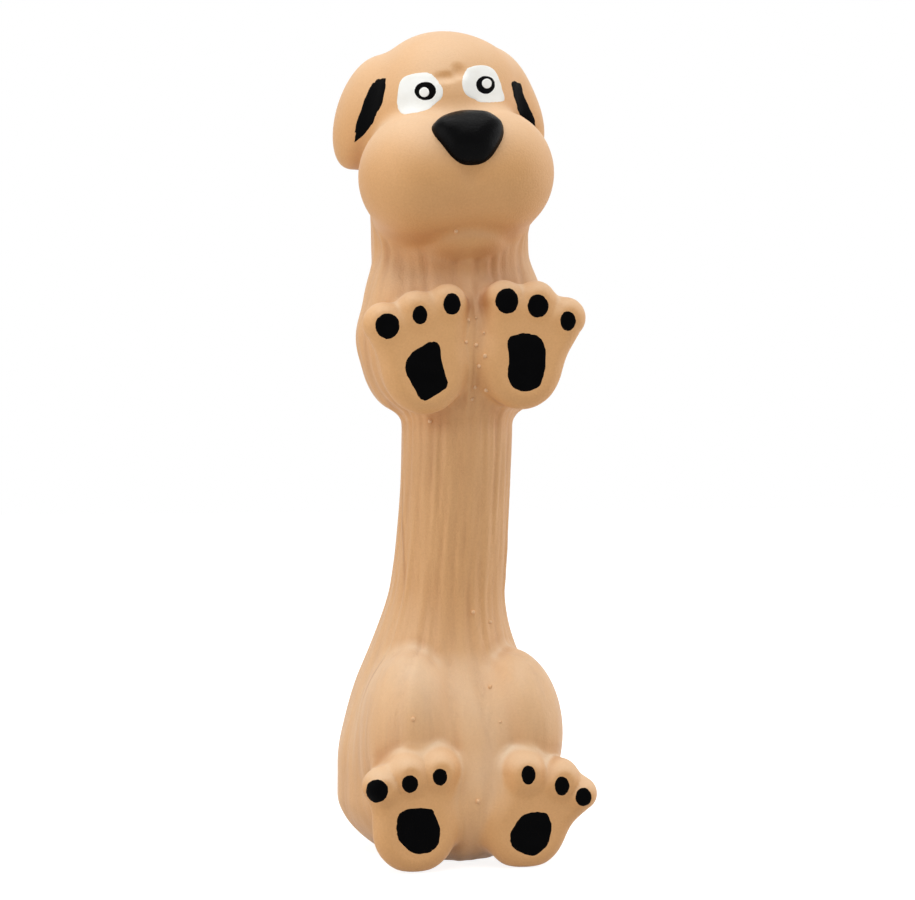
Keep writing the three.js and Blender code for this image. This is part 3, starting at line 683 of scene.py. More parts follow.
@dataclass
class Moulding:
    """The whole moulded skin as one form, in millimetres, with the toy's own axis at x 0."""

    trunk: Trunk = field(default_factory=Trunk)
    head: Head = field(default_factory=Head)
    flutes: Flutes = field(default_factory=Flutes)
    belly: Lobe = Lobe((0.0, -4.5, 31.0), (58.0, 46.0, 64.0))
    lap: Lobe = Lobe((0.0, -13.0, 19.5), (36.0, 35.0, 33.0))
    breast: Lobe = Lobe((0.0, -6.4, 171.5), (50.0, 42.0, 44.0))
    shoulder: Lobe = Lobe((22.0, 0.4, 175.0), (20.0, 32.0, 46.0))
    thigh: Lobe = Lobe((19.2, -8.0, 44.0), (30.0, 41.0, 52.0), -5.0)
    forearm_radii: Pair = (10.0, 9.0)
    front_fillet: float = 9.0
    shoulder_fillet: float = 8.0
    thigh_fillet: float = 4.5
    forearm_fillet: float = 6.0
    paw_fillet: float = 4.5
    neck_fillet: float = 9.0
    base_edge: float = 1.6
    bay_clearance: float = 0.7
    flute_edge: Pair = (-0.5, 3.0)
    parting_y: float = -1.0
    parting_width: float = 0.55
    parting_height: float = 0.14
    parting_span: Span = (48.0, 62.0, 132.0, 150.0)

    def __post_init__(self) -> None:
        """Works out the origin, the neck and the squeaker's bay from the frame, and sets the paws."""
        low, high = (np.array(corner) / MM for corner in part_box("whistle_cup"))
        self.bay_middle = np.array([0.0, self.trunk.hip_middle_y])
        self.origin = np.array([*((low + high)[:2] / 2 - self.bay_middle), 0.0])
        self.neck = joint_place("neck_nod") - self.origin
        self.bay_radius = (high[0] - low[0]) / 2 + self.bay_clearance
        self.bay_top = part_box("whistle_cap")[1].z / MM + self.bay_clearance
        self.fore_paws = [
            Paw(Side.LEFT, -31.6, Lobe((15.2, 164.8), (24.0, 27.4)),
                ((9.3, 186.0, 6.8), (20.3, 185.8, 7.0), (30.6, 180.8, 6.8)), 12.0),
            Paw(Side.RIGHT, -31.6, Lobe((17.8, 163.4), (25.0, 29.0)),
                ((9.8, 184.6, 6.6), (20.4, 181.8, 7.0), (31.2, 177.8, 7.0)), 12.0),
        ]
        self.hind_paws = [
            Paw(Side.LEFT, -32.5, Lobe((16.2, 12.8), (28.0, 27.0)),
                ((15.6, 31.0, 7.3), (28.0, 28.6, 6.9), (35.4, 23.4, 5.6)), toe_swell=1.5),
            Paw(Side.RIGHT, -32.5, Lobe((21.0, 13.8), (28.0, 28.0)),
                ((13.4, 33.0, 6.9), (23.6, 31.8, 7.0), (32.4, 28.4, 6.2)), toe_swell=1.5),
        ]

    def forms(self, points: Array) -> tuple[Array, Array, Array]:
        """Distances to the trunk with its legs, to the paws and to the head.

        Args:
            points: Points in millimetres.

        Returns:
            The three sets of distances.
        """
        body = self.trunk.distance(points)
        for swelling in (self.belly, self.lap, self.breast):
            body = merge(body, swelling.distance(points), self.front_fillet)
        for side, paw in zip(Side, self.fore_paws):
            flip = (side.value, 1.0, 1.0)
            body = merge(body, self.thigh.distance(points * flip), self.thigh_fillet)
            body = merge(body, self.shoulder.distance(points * flip), self.shoulder_fillet)
            elbow = np.asarray(self.shoulder.centre) * flip
            across, up = paw.heel.centre
            wrist = (across * side.value, paw.sole + paw.thickness, up)
            body = merge(body, limb(points, elbow, wrist, self.forearm_radii), self.forearm_fillet)
        paws = np.min([paw.distance(points) for paw in (*self.fore_paws, *self.hind_paws)], axis=0)
        return body, paws, self.head.distance(self.head.unturned(points, self.neck))

    def marks(self, points: Array, body: Array, paws: Array, head: Array) -> tuple[Array, Array]:
        """Where the skin is fluted and where the mould's parting line runs.

        Args:
            points: Points in millimetres.
            body: Distances to the trunk with its legs.
            paws: Distances to the paws.
            head: Distances to the head.

        Returns:
            The strength of the flutes and of the parting line, from 0 to 1.
        """
        fluted = ramp(*self.flute_edge, np.minimum(paws, head) - body)
        line = np.exp(-(((points[:, 1] - self.parting_y) / self.parting_width) ** 2))
        return fluted, line * plateau(self.parting_span, points[:, 2]) * fluted

    def distance(self, points: Array) -> Array:
        """Distance to the skin, with its flutes, parting line, flat base and squeaker bay.

        Args:
            points: Points in millimetres.

        Returns:
            About the distance from each point, negative inside.
        """
        body, paws, head = self.forms(points)
        fluted, line = self.marks(points, body, paws, head)
        form = merge(merge(body, paws, self.paw_fillet), head, self.neck_fillet)
        flutes = self.flutes.height(points, self.trunk.middle(points[:, 2]))
        form -= fluted * flutes + line * self.parting_height
        form = carve(form, points[:, 2], self.base_edge)
        bay = np.linalg.norm(points[:, :2] - self.bay_middle, axis=1) - self.bay_radius
        return carve(form, np.maximum(bay, points[:, 2] - self.bay_top), self.base_edge / 2)

    def slope(self, points: Array, step: float = 0.05) -> Array:
        """The gradient of the distance at each point, from four samples round it."""
        corners = np.array([(1, 1, 1), (1, -1, -1), (-1, 1, -1), (-1, -1, 1)], float)
        return sum(self.distance(points + step * corner)[:, None] * corner for corner in corners) / (4 * step)

    def outward(self, points: Array) -> Array:
        """The skin's outward direction at each point."""
        slope = self.slope(points)
        return slope / np.linalg.norm(slope, axis=1, keepdims=True)

    def settle(self, points: Array, rounds: int = 4) -> Array:
        """Moves points that lie near the skin onto it.

        Args:
            points: Points in millimetres.
            rounds: How often they are moved.

        Returns:
            The points on the skin.
        """
        for _ in range(rounds):
            slope = self.slope(points)
            steep = np.maximum((slope**2).sum(axis=1, keepdims=True), 0.05)
            points = points - np.clip(self.distance(points)[:, None] / steep, -1.0, 1.0) * slope
        return points

    def row(self, points: Array) -> Array:
        """The points in the row frame, in metres."""
        return (points + self.origin) * MM


class Mesher:
    """Wraps a closed mesh of quads round a moulding."""

    def __init__(self, moulding: Moulding, spacing: float = 1.35, margin: float = 4.0) -> None:
        """Lays the sampling grid.

        Args:
            moulding: The form to wrap.
            spacing: The grid's step in millimetres; the mesh is twice as fine.
            margin: How far the grid reaches past the frame's box.
        """
        self.moulding = moulding
        self.spacing = spacing
        low, high = (np.array(corner) / MM - moulding.origin for corner in CAD_BOX)
        self.low = low - margin
        self.counts = np.ceil((high - low + 2 * margin) / spacing).astype(int) + 1

    def sample(self) -> Array:
        """The form's distances on the grid.

        Returns:
            The distances, by steps along X, Y and Z.
        """
        axes = [start + self.spacing * np.arange(count) for start, count in zip(self.low, self.counts)]
        layers = []
        for x in axes[0]:
            layer = np.stack(np.meshgrid([x], *axes[1:], indexing="ij"), axis=-1).reshape(-1, 3)
            layers.append(self.moulding.distance(layer).reshape(self.counts[1:]))
        return np.stack(layers)

    def wrap(self) -> tuple[Array, Array]:
        """Puts one vertex in each cell that the surface passes and joins them round each crossed edge.

        Returns:
            The vertices in millimetres and the quads.
        """
        values = self.sample()
        inside = values < 0.0
        offsets = [np.array([i, j, k]) for i in (0, 1) for j in (0, 1) for k in (0, 1)]
        windows = [tuple(slice(o, n - 1 + o) for o, n in zip(corner, self.counts)) for corner in offsets]
        corners = np.stack([inside[window] for window in windows])
        cells = np.argwhere(corners.any(axis=0) & ~corners.all(axis=0))
        number = np.full(self.counts - 1, -1)
        number[tuple(cells.T)] = np.arange(len(cells))
        total, crossings = np.zeros((len(cells), 3)), np.zeros(len(cells))
        for first in offsets:
            for axis in range(3):
                if first[axis]:
                    continue
                second = first + np.eye(3, dtype=int)[axis]
                here, there = values[tuple((cells + first).T)], values[tuple((cells + second).T)]
                crossed = (here < 0.0) != (there < 0.0)
                share = np.where(crossed, here / np.where(crossed, here - there, 1.0), 0.0)
                total += crossed[:, None] * (first + share[:, None] * (second - first))
                crossings += crossed
        vertices = self.low + self.spacing * (cells + total / crossings[:, None])
        return vertices, np.concatenate([self.ring(inside, number, axis) for axis in range(3)])

    def ring(self, inside: Array, number: Array, axis: int) -> Array:
        """The quads round the grid edges along one axis, facing outwards.

        Args:
            inside: Which grid points lie inside the form.
            number: The vertex in each cell.
            axis: The axis, from 0 to 2.

        Returns:
            The quads.
        """
        along, before, after = (np.eye(3, dtype=int)[(axis + step) % 3] for step in range(3))
        start = tuple(slice(1 - a, n - 1) for a, n in zip(along, self.counts))
        end = tuple(slice(1, n - 1 + a) for a, n in zip(along, self.counts))
        leaves = inside[start] & ~inside[end]
        enters = ~inside[start] & inside[end]
        quads = []
        for crossed, order in ((leaves, (0, 1, 2, 3)), (enters, (3, 2, 1, 0))):
            edges = np.argwhere(crossed) + 1 - along
            around = [edges - before - after, edges - after, edges, edges - before]
            quads.append(np.stack([number[tuple(around[i].T)] for i in order], axis=1))
        return np.concatenate(quads)

    @staticmethod
    def split(vertices: Array, quads: Array) -> tuple[Array, Array]:
        """Cuts every quad in four.

        Args:
            vertices: The vertices.
            quads: The quads.

        Returns:
            The finer vertices and quads.
        """
        edges = np.sort(np.stack([quads, np.roll(quads, -1, axis=1)], axis=2).reshape(-1, 2), axis=1)
        kinds, where = np.unique(edges, axis=0, return_inverse=True)
        middles = len(vertices) + where.reshape(-1, 4)
        centres = len(vertices) + len(kinds) + np.arange(len(quads))
        finer = [np.stack([quads[:, i], middles[:, i], centres, middles[:, i - 1]], axis=1) for i in range(4)]
        points = [vertices, vertices[kinds].mean(axis=1), vertices[quads].mean(axis=1)]
        return np.concatenate(points), np.concatenate(finer)

    def mesh(self) -> tuple[Array, Array]:
        """Makes the mesh.

        Returns:
            The skin's vertices, settled on the form, and its quads.
        """
        vertices, quads = self.wrap()
        vertices, quads = self.split(self.moulding.settle(vertices, 2), quads)
        return self.moulding.settle(vertices), quads


def new_piece(
    name: str, vertices: Array, faces: Sequence[Sequence[int]], smooth: bool = True
) -> bpy.types.Object:
    """Makes a mesh object at the origin.

    Args:
        name: The piece's name.
        vertices: Its vertices in metres, in the row frame.
        faces: Its faces.
        smooth: Whether it is shaded smooth.

    Returns:
        The linked object.
    """
    mesh = bpy.data.meshes.new(name)
    mesh.from_pydata(np.asarray(vertices).tolist(), [], [list(map(int, face)) for face in faces])
    mesh.polygons.foreach_set("use_smooth", [smooth] * len(mesh.polygons))
    mesh.update()
    piece = bpy.data.objects.new(name, mesh)
    bpy.context.scene.collection.objects.link(piece)
    return piece


@dataclass(frozen=True)
class Stretch:
    """A stretch of the skin between two heights, which spans one joint."""

    name: str
    bodies: tuple[Body, Body]
    bottom: float
    top: float
    bend: Pair
    nodes: tuple[str, ...]

    def fit(self, piece: bpy.types.Object, moulding: Moulding) -> None:
        """Bakes a piece's placement into its mesh; the bend's ends are worked out but not used.

        Args:
            piece: The skin's stretch or what grows on it.
            moulding: The form that sets the row frame.
        """
        start, end = (moulding.row(UP * height) for height in self.bend)
        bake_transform(piece)


@dataclass
class Skin:
    """The latex skin, parted where no bend reaches, into one stretch across each joint."""

    moulding: Moulding
    material: bpy.types.Material
    hip_top: float = 102.0
    waist_top: float = 124.0
    neck_line: float = 193.5
    hip_bend: Pair = (76.0, 100.0)
    waist_bend: Pair = (104.0, 122.0)
    chest_bend: Pair = (126.0, 153.0)
    neck_bend: Pair = (193.5, 208.0)
    # Painted shade: how far the crease mask looks for hollows, and how it ramps.
    crease_reach: float = 14.0
    crease_span: Pair = (0.08, 0.75)
    rim_reach: float = 4.5
    # Pale bloom and painted highlight on raised rims; painted highlight on upward-facing skin; painted light
    # on the lower trunk.
    rim_span: Pair = (0.15, 0.7)
    rim_facing: Pair = (-0.7, 0.2)
    dust: float = 0.7
    dust_facing: Pair = (-0.15, 0.85)
    bloom: float = 0.12
    low_bloom: float = 0.19
    low_bloom_span: Pair = (80.0, 50.0)
    groove_floor: float = 0.35
    groove_span: Pair = (0.1, -0.3)

    def stretches(self) -> list[Stretch]:
        """Plans the skin's pieces.

        Returns:
            The pieces from the base up.
        """
        legs, arms, ears = (
            tuple(f"{side.label}_{part}" for side in Side) for part in ("hind_leg", "foreleg", "ear")
        )
        lower_waist, upper_waist = Body.LOWER_WAIST, Body.UPPER_WAIST
        return [
            Stretch("hip_skin", (Body.HIPS, lower_waist), -math.inf, self.hip_top,
                    self.hip_bend, ("hip_shell", *legs)),
            Stretch("waist_skin", (lower_waist, upper_waist), self.hip_top, self.waist_top,
                    self.waist_bend, ("lower_waist_shell", "upper_waist_shell")),
            Stretch("chest_skin", (upper_waist, Body.CHEST), self.waist_top, self.neck_line,
                    self.chest_bend, ("chest_shell", *arms)),
            Stretch("head_skin", (Body.CHEST, Body.HEAD), self.neck_line, math.inf,
                    self.neck_bend, ("head_shell", "muzzle_shell", *ears)),
        ]

    def build(self) -> list[bpy.types.Object]:
        """Makes and dresses the skin.

        Returns:
            The finished pieces.
        """
        vertices, quads = Mesher(self.moulding).mesh()
        whole = new_piece("whole_skin", vertices * MM, quads)
        pieces = [self.cut(whole, plan) for plan in self.stretches()]
        bpy.data.objects.remove(whole)
        return pieces

    def cut(self, whole: bpy.types.Object, plan: Stretch) -> bpy.types.Object:
        """Cuts one stretch out of the whole skin, closes its ends and dresses it.

        Args:
            whole: The uncut skin, about the toy's own axis.
            plan: What the stretch is.

        Returns:
            The finished piece.
        """
        work = bmesh.new()
        work.from_mesh(whole.data)
        for height, keep_above in ((plan.bottom, True), (plan.top, False)):
            if math.isinf(height):
                continue
            everything = [*work.verts, *work.edges, *work.faces]
            sides = dict(clear_inner=keep_above, clear_outer=not keep_above)
            bmesh.ops.bisect_plane(
                work, geom=everything, dist=1e-7, plane_co=UP * height * MM, plane_no=UP, **sides
            )
            rim = [edge for edge in work.edges if edge.is_boundary]
            bmesh.ops.holes_fill(work, edges=rim, sides=0)
        bmesh.ops.recalc_face_normals(work, faces=work.faces)
        piece = new_piece(plan.name, np.zeros((0, 3)), [])
        work.to_mesh(piece.data)
        work.free()
        self.mark(piece.data)
        piece.data.materials.append(self.material)
        plan.fit(piece, self.moulding)
        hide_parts(*plan.nodes)
        return piece

    def depth(self, points: Array, way: Array, reach: float) -> Array:
        """How the distance to the skin grows along a direction, as a mean share of four steps."""
        steps = reach * np.array([0.25, 0.5, 0.75, 1.0])
        return np.mean([self.moulding.distance(points + way * step) / step for step in steps], axis=0)

    def mark(self, mesh: bpy.types.Mesh) -> None:
        """Writes the skin's attributes and true normals, then moves the mesh to the row frame.

        Args:
            mesh: A stretch of the skin, about the toy's own axis.
        """
        form = self.moulding
        points = np.zeros(len(mesh.vertices) * 3)
        mesh.vertices.foreach_get("co", points)
        points = points.reshape(-1, 3) / MM
        outward = form.outward(points)
        facing, height = outward[:, 2], points[:, 2]
        fluted, line = form.marks(points, *form.forms(points))
        grooves = ramp(*self.groove_span, form.flutes.height(points, form.trunk.middle(height)))
        # Painted shade: the crease mask is high in hollows and creases, where shade falls.
        crease = ramp(*self.crease_span, 1.0 - self.depth(points, outward, self.crease_reach))
        # Pale bloom and painted highlight on raised rims that face up or sideways, painted highlight on
        # upward-facing skin, and painted light growing towards the bottom of the trunk.
        rim = ramp(*self.rim_span, 1.0 + self.depth(points, -outward, self.rim_reach))
        ridge = rim * ramp(*self.rim_facing, facing) + self.dust * ramp(*self.dust_facing, facing)
        ridge += fluted * (self.bloom + self.low_bloom * ramp(*self.low_bloom_span, height))
        flute = fluted * (self.groove_floor + (1.0 - self.groove_floor) * grooves)
        for name, value in {"crease": crease, "ridge": ridge, "flute": flute, "seam": line}.items():
            mesh.attributes.new(name, "FLOAT", "POINT").data.foreach_set("value", value.astype(np.float32))
        mesh.polygons.foreach_set("use_smooth", [True] * len(mesh.polygons))
        corners = np.zeros(len(mesh.loops), int)
        mesh.loops.foreach_get("vertex_index", corners)
        normals = outward[corners]
        # Only the flat caps of the cuts have more than four corners, and they keep their own normal.
        for face in mesh.polygons:
            if face.loop_total > 4:
                normals[face.loop_start:face.loop_start + face.loop_total] = face.normal
        mesh.normals_split_custom_set(normals.tolist())
        mesh.transform(Matrix.Translation(Vector(form.origin * MM)))


@dataclass
class PhotoCamera:
    """The camera at the photograph's viewing angle, with places in millimetres in the row frame."""

    azimuth_deg: float = -15.0
    distance: float = 750.0
    look: Triple = (-1.14, 0.64, 137.0)
    frame_width: int = 915
    frame_height: int = 900
    focal_pixels: float = 2205.0
    axis_column: float = 449.5
    sensor: float = 36.0

    def __post_init__(self) -> None:
        """Works out the directions of the view."""
        angle = math.radians(self.azimuth_deg)
        self.ahead = np.array([-math.sin(angle), math.cos(angle), 0.0])
        self.right = np.cross(self.ahead, UP)
        self.eye = np.array(self.look) - self.ahead * self.distance

    def ray(self, column: float, row: float) -> Array:
        """The direction in which the camera sees a pixel of the photograph.

        Args:
            column: The pixel's column.
            row: The pixel's row.

        Returns:
            The direction, of unit length.
        """
        across = (column - self.axis_column) / self.focal_pixels
        down = (row - self.frame_height / 2) / self.focal_pixels
        way = self.ahead + self.right * across - UP * down
        return way / np.linalg.norm(way)

    def build(self) -> None:
        """Makes the scene's camera."""
        lens = bpy.data.cameras.new("photo_camera")
        lens.sensor_width = self.sensor
        lens.lens = self.focal_pixels * self.sensor / self.frame_width
        lens.shift_x = (self.frame_width / 2 - self.axis_column) / self.frame_width
        camera = bpy.data.objects.new("photo_camera", lens)
        camera.location = self.eye * MM
        camera.rotation_euler = Vector(self.ahead).to_track_quat("-Z", "Y").to_euler()
        bpy.context.scene.collection.objects.link(camera)
        bpy.context.scene.camera = camera


class Coat(Enum):
    """The paints."""

    BLACK = PaintFinish("black_paint_finish", (3, 3, 4), (10, 10, 11), 0.5, 0.5, 0.02)
    SATIN_BLACK = PaintFinish("satin_black_finish", (2, 2, 3), (6, 6, 7), 0.25, 0.4, 0.045)
    WHITE = PaintFinish("white_paint_finish", (249, 249, 244), (232, 228, 216), 0.42, 0.3, 0.4)

    @property
    def slot(self) -> Slot:
        """The record's slot for this paint."""
        return Slot.WHITE_PAINT if self is Coat.WHITE else Slot.BLACK_PAINT


@dataclass(frozen=True)
class Patch:
    """A painted patch, seen from the camera: its middle in the photograph and its outline in millimetres."""

    node: str
    body: Body
    coat: Coat
    pixel: Pair
    outline: tuple[Pair, ...]
    lift: float = 0.16
    dome: float = 0.0
    wobble: float = 0.02

    def rim(self, count: int, chance: np.random.Generator) -> Array:
        """The outline as a smooth closed curve with a slightly uneven edge.

        Args:
            count: How many points the curve has.
            chance: The source of the unevenness.

        Returns:
            The points; two numbers alone in the outline are an oval's width and height.
        """
        angle = np.arange(count) * 2 * math.pi / count
        knots = np.asarray(self.outline, float)
        if len(knots) == 1:
            curve = np.stack([np.cos(angle), np.sin(angle)], axis=1) * knots[0] / 2
        else:
            place = np.arange(count) * len(knots) / count
            base, share = place.astype(int), (place % 1.0)[:, None]
            a, b, c, d = (knots[(base + step) % len(knots)] for step in (-1, 0, 1, 2))
            bend = (2 * a - 5 * b + 4 * c - d) + share * (3 * (b - c) + d - a)
            curve = b + share * ((c - a) + share * bend) / 2
            following = np.roll(curve, -1, axis=0)
            if (curve[:, 0] * following[:, 1] - curve[:, 1] * following[:, 0]).sum() < 0.0:
                curve = curve[::-1]
        waves = chance.uniform(0.0, 2 * math.pi, 9)
        uneven = sum(np.sin((3 + 3 * wave) * angle + phase) / (wave + 2) for wave, phase in enumerate(waves))
        return curve * (1.0 + self.wobble * uneven)[:, None]


@dataclass
class Painter:
    """Lays the painted patches on the skin as thin closed coats."""

    moulding: Moulding
    camera: PhotoCamera
    rings: int = 14
    segments: int = 64
    sunk: float = 0.35
    edge_power: int = 10
    edge_sink: float = 0.04
    dome_powers: Pair = (2.6, 0.62)
    view_reach: float = 70.0
    patch_reach: float = 10.0
    steps: int = 30
    pace: float = 0.8
    back_step: float = 0.5
    seed: int = 7

    def __post_init__(self) -> None:
        """Mixes the paints."""
        self.paints = {coat: coat.value.material() for coat in Coat}
        self.chance = np.random.default_rng(self.seed)

    def drop(self, points: Array, way: Array, reach: float) -> Array:
        """Moves points along a direction until they meet the skin.

        Args:
            points: The points that set out, in millimetres about the toy's own axis.
            way: The direction of travel.
            reach: How far back from the points the travel starts.

        Returns:
            The points on the skin.
        """
        start = points - way * reach
        travel = np.zeros(len(points))
        for _ in range(self.steps):
            gap = self.moulding.distance(start + travel[:, None] * way)
            step = np.clip(gap * self.pace, -self.back_step, reach / 4)
            travel = np.minimum(travel + step, 2 * reach)
        return self.moulding.settle(start + travel[:, None] * way, 2)

    def hit(self, column: float, row: float) -> Array:
        """The point of the skin that the camera sees at a pixel.

        Args:
            column: The pixel's column.
            row: The pixel's row.

        Returns:
            The point in millimetres, about the toy's own axis.
        """
        way = self.camera.ray(column, row)
        start = self.camera.eye - self.moulding.origin + way * self.camera.distance
        return self.drop(start[None], way, self.view_reach)[0]

    def paint(self, patch: Patch) -> bpy.types.Object:
        """Makes one patch.

        Args:
            patch: What is painted.

        Returns:
            The finished piece.
        """
        middle = self.hit(*patch.pixel)
        rim = patch.rim(self.segments, self.chance)
        shares = np.linspace(0.0, 1.0, self.rings + 1)[1:]
        flat = np.concatenate([np.zeros((1, 2)), (shares[:, None, None] * rim).reshape(-1, 2)])
        share = np.concatenate([[0.0], np.repeat(shares, self.segments)])[:, None]
        places = middle + flat[:, :1] * self.camera.right + flat[:, 1:] * UP
        ground = self.drop(places, self.camera.ray(*patch.pixel), self.patch_reach)
        outward = self.moulding.outward(ground)
        front = self.moulding.outward(middle[None])
        edge = share**self.edge_power
        spread, fall = self.dome_powers
        dome = patch.dome * np.maximum(1.0 - share**spread, 0.0) ** fall
        top = ground + outward * (patch.lift * (1.0 - edge) - self.edge_sink * edge) + front * dome
        bottom = ground - outward * self.sunk
        vertices = self.moulding.row(np.concatenate([top, bottom]))
        piece = new_piece(patch.node + "_coat", vertices, self.faces())
        piece.data.materials.append(self.paints[patch.coat])
        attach(piece, patch.body.value)
        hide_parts(patch.node)
        return piece

    def faces(self) -> list[tuple[int, ...]]:
        """Joins a patch's points, ring by ring.

        Returns:
            The faces of its front, its back and the wall round its rim.
        """
        count, under = self.segments, 1 + self.rings * self.segments
        faces: list[tuple[int, ...]] = []
        for i in range(count):
            j = (i + 1) % count
            faces += [(0, 1 + i, 1 + j), (under, under + 1 + j, under + 1 + i)]
            for ring in range(self.rings - 1):
                a, b = 1 + ring * count, 1 + (ring + 1) * count
                faces.append((a + i, b + i, b + j, a + j))
                faces.append((under + a + j, under + b + j, under + b + i, under + a + i))
            last = 1 + (self.rings - 1) * count
            faces.append((last + i, under + last + i, under + last + j, last + j))
        return faces


def paw_patches() -> list[Patch]:
    """Places the pads of the four paws by the photograph's pixels.

    Returns:
        Each paw's heel pad and toe pads.
    """
    heels = {
        ("right", "fore"): (
            (427, 370),
            ((-7.3, 0), (-5.8, 4.5), (-2.6, 7.4), (1.3, 9.4), (3.9, 8.7), (4.9, 2.6),
             (6.3, -1.9), (6.5, -6), (0, -9.8), (-2.6, -9), (-4.5, -5.6)),
        ),
        ("left", "fore"): (
            (526, 362),
            ((-6.1, 7.1), (-3.9, 8.9), (0.3, 9.8), (3.6, 8.9), (6, 6.1), (6.6, 2),
             (6.2, -3.9), (4.3, -8.3), (-1.6, -9.8), (-5.3, -7), (-6.2, -3), (-5.7, 1.6)),
        ),
        ("right", "hind"): (
            (419, 832),
            ((-7.5, 2.9), (-6.5, 5.9), (-3.9, 7.3), (3.7, 7.7), (5.7, 4.9), (7.1, 0),
             (5.9, -4.5), (3, -7), (-1.6, -7.1), (-5.5, -4.1), (-7.2, -0.6)),
        ),
        ("left", "hind"): (
            (531, 835),
            ((-6.9, -0.8), (-5.7, 2.9), (-2.9, 6.5), (1, 7.7), (4.9, 7.1), (6.9, 4),
             (6.6, 0), (5.1, -3.9), (0.6, -6.9), (-3.2, -6), (-6.2, -4)),
        ),
    }
    toes = {
        ("right", "fore"): (((452, 304), (5.7, 7.2)), ((420, 315), (4.9, 6.2)), ((387.5, 326), (8.0, 8.4))),
        ("left", "fore"): (((507, 301), (7.7, 8.5)), ((538, 306), (7.0, 7.8)), ((568, 321), (5.2, 6.6))),
        ("right", "hind"): (((440, 777), (4.8, 5.6)), ((410, 784), (5.4, 5.8)), ((377, 791), (7.3, 7.6))),
        ("left", "hind"): (((528.5, 775), (4.7, 6.4)), ((562, 786), (4.9, 6.4)), ((583.5, 797), (5.4, 6.2))),
    }
    patches = []
    for (side, end), (pixel, outline) in heels.items():
        body = Body.CHEST if end == "fore" else Body.HIPS
        patches.append(Patch(f"{side}_{end}_heel_pad", body, Coat.BLACK, pixel, outline, wobble=0.03))
        for toe, (spot, size) in zip(("inner", "middle", "outer"), toes[side, end]):
            patches.append(Patch(f"{side}_{end}_{toe}_toe_pad", body, Coat.BLACK, spot, (size,), wobble=0.03))
    return patches


def face_patches() -> list[Patch]:
    """Places the painted nose, eyes and ear linings by the photograph's pixels.

    Returns:
        The nose, and the coats of each eye and ear.
    """
    whites = {
        "right": (
            (420, 93),
            ((-7.9, -2.3), (-6.6, 4), (-4, 6), (1.7, 7), (4.6, 5.8), (7.6, 1.4), (7.3, -1.4),
             (5.4, -3.4), (2.7, -5.6), (-2, -6.6), (-5.3, -7), (-7.3, -5.6)),
        ),
        "left": (
            (483, 84),
            ((-7, 0), (-6.4, 3.7), (-4.4, 5.8), (-1, 6.4), (2.2, 5.8), (4.7, 3.7), (6.6, -1.7),
             (7.4, -4.9), (6.2, -6), (0, -6.3), (-2.6, -5.4), (-5.7, -3.6)),
        ),
    }
    pupils = {"right": ((425.4, 91.2), (7.7, 6.6)), "left": ((485.3, 85), (6.8, 6.5))}
    spots = {"right": ((424.4, 92.5), (3.7, 3.7)), "left": ((486.3, 83.8), (3.7, 3.7))}
    linings = {
        "right": (
            (370, 108),
            ((1.7, 9.7), (5.3, 10), (5, 6), (3.7, 0.7), (2, -2.7), (0.3, -6.3), (-4.3, -11),
             (-5.3, -10.3), (-5, -6.3), (-2.3, 1.7), (-0.7, 5.3)),
        ),
        "left": (
            (523, 104),
            ((-4, 8.3), (-0.7, 6.7), (0, 3.7), (2, -0.7), (3.7, -4.3), (4.3, -8), (2, -6),
             (-1, -4), (-2.3, 0), (-3.3, 3.7)),
        ),
    }
    nose = (
        (-11.7, 3.2), (-8.9, 5.8), (-3.6, 7.4), (1.7, 7.6), (6.9, 7), (10.6, 4.6), (11.6, 2.6), (11.2, -0.9),
        (8.3, -5.9), (5.3, -8.6), (1.7, -9.5), (-2, -9.1), (-5.3, -6.7), (-8.3, -2.9), (-11, 0.4),
    )
    patches = [Patch("nose", Body.HEAD, Coat.SATIN_BLACK, (468, 136), nose, dome=6.0, wobble=0.0)]
    for side in ("right", "left"):
        patches.append(Patch(f"{side}_eye_white", Body.HEAD, Coat.WHITE, *whites[side]))
        pixel, size = pupils[side]
        patches.append(Patch(f"{side}_pupil", Body.HEAD, Coat.BLACK, pixel, (size,), lift=0.3))
        pixel, size = spots[side]
        patches.append(Patch(f"{side}_eye_spot", Body.HEAD, Coat.WHITE, pixel, (size,), lift=0.42))
        patches.append(Patch(f"{side}_ear_lining", Body.HEAD, Coat.BLACK, *linings[side], wobble=0.07))
    return patches


class Growth(Nodes):
    """A Geometry Nodes tree that grows a piece's mesh from its points."""

    def __init__(self, name: str, inputs: dict[str, str]) -> None:
        """Makes the tree with its named inputs.

        Args:
            name: The tree's name.
            inputs: Each input's name and socket type, after the geometry.
        """
        super().__init__(bpy.data.node_groups.new(name, "GeometryNodeTree"))
        add = self.tree.interface.new_socket
        kinds = {"Geometry": "NodeSocketGeometry", **inputs}
        self.sockets = {label: add(label, in_out="INPUT", socket_type=kind) for label, kind in kinds.items()}
        add("Geometry", in_out="OUTPUT", socket_type="NodeSocketGeometry")
        self.given = self.tree.nodes.new("NodeGroupInput").outputs

    def input(self, label: str) -> Wire:
        """The tree's input of that name."""
        return Wire(self, self.given[label])

    def run(self, piece: bpy.types.Object, values: dict[str, Any]) -> None:
        """Runs the tree on a piece and keeps the result as its plain mesh.

        Args:
            piece: The object whose mesh goes in.
            values: The inputs' values by name.
        """
        modifier = piece.modifiers.new(self.tree.name, "NODES")
        modifier.node_group = self.tree
        for label, value in values.items():
            modifier[self.sockets[label].identifier] = value
        graph = bpy.context.evaluated_depsgraph_get()
        made = bpy.data.meshes.new_from_object(piece.evaluated_get(graph))
        piece.modifiers.remove(modifier)
        piece.data = made


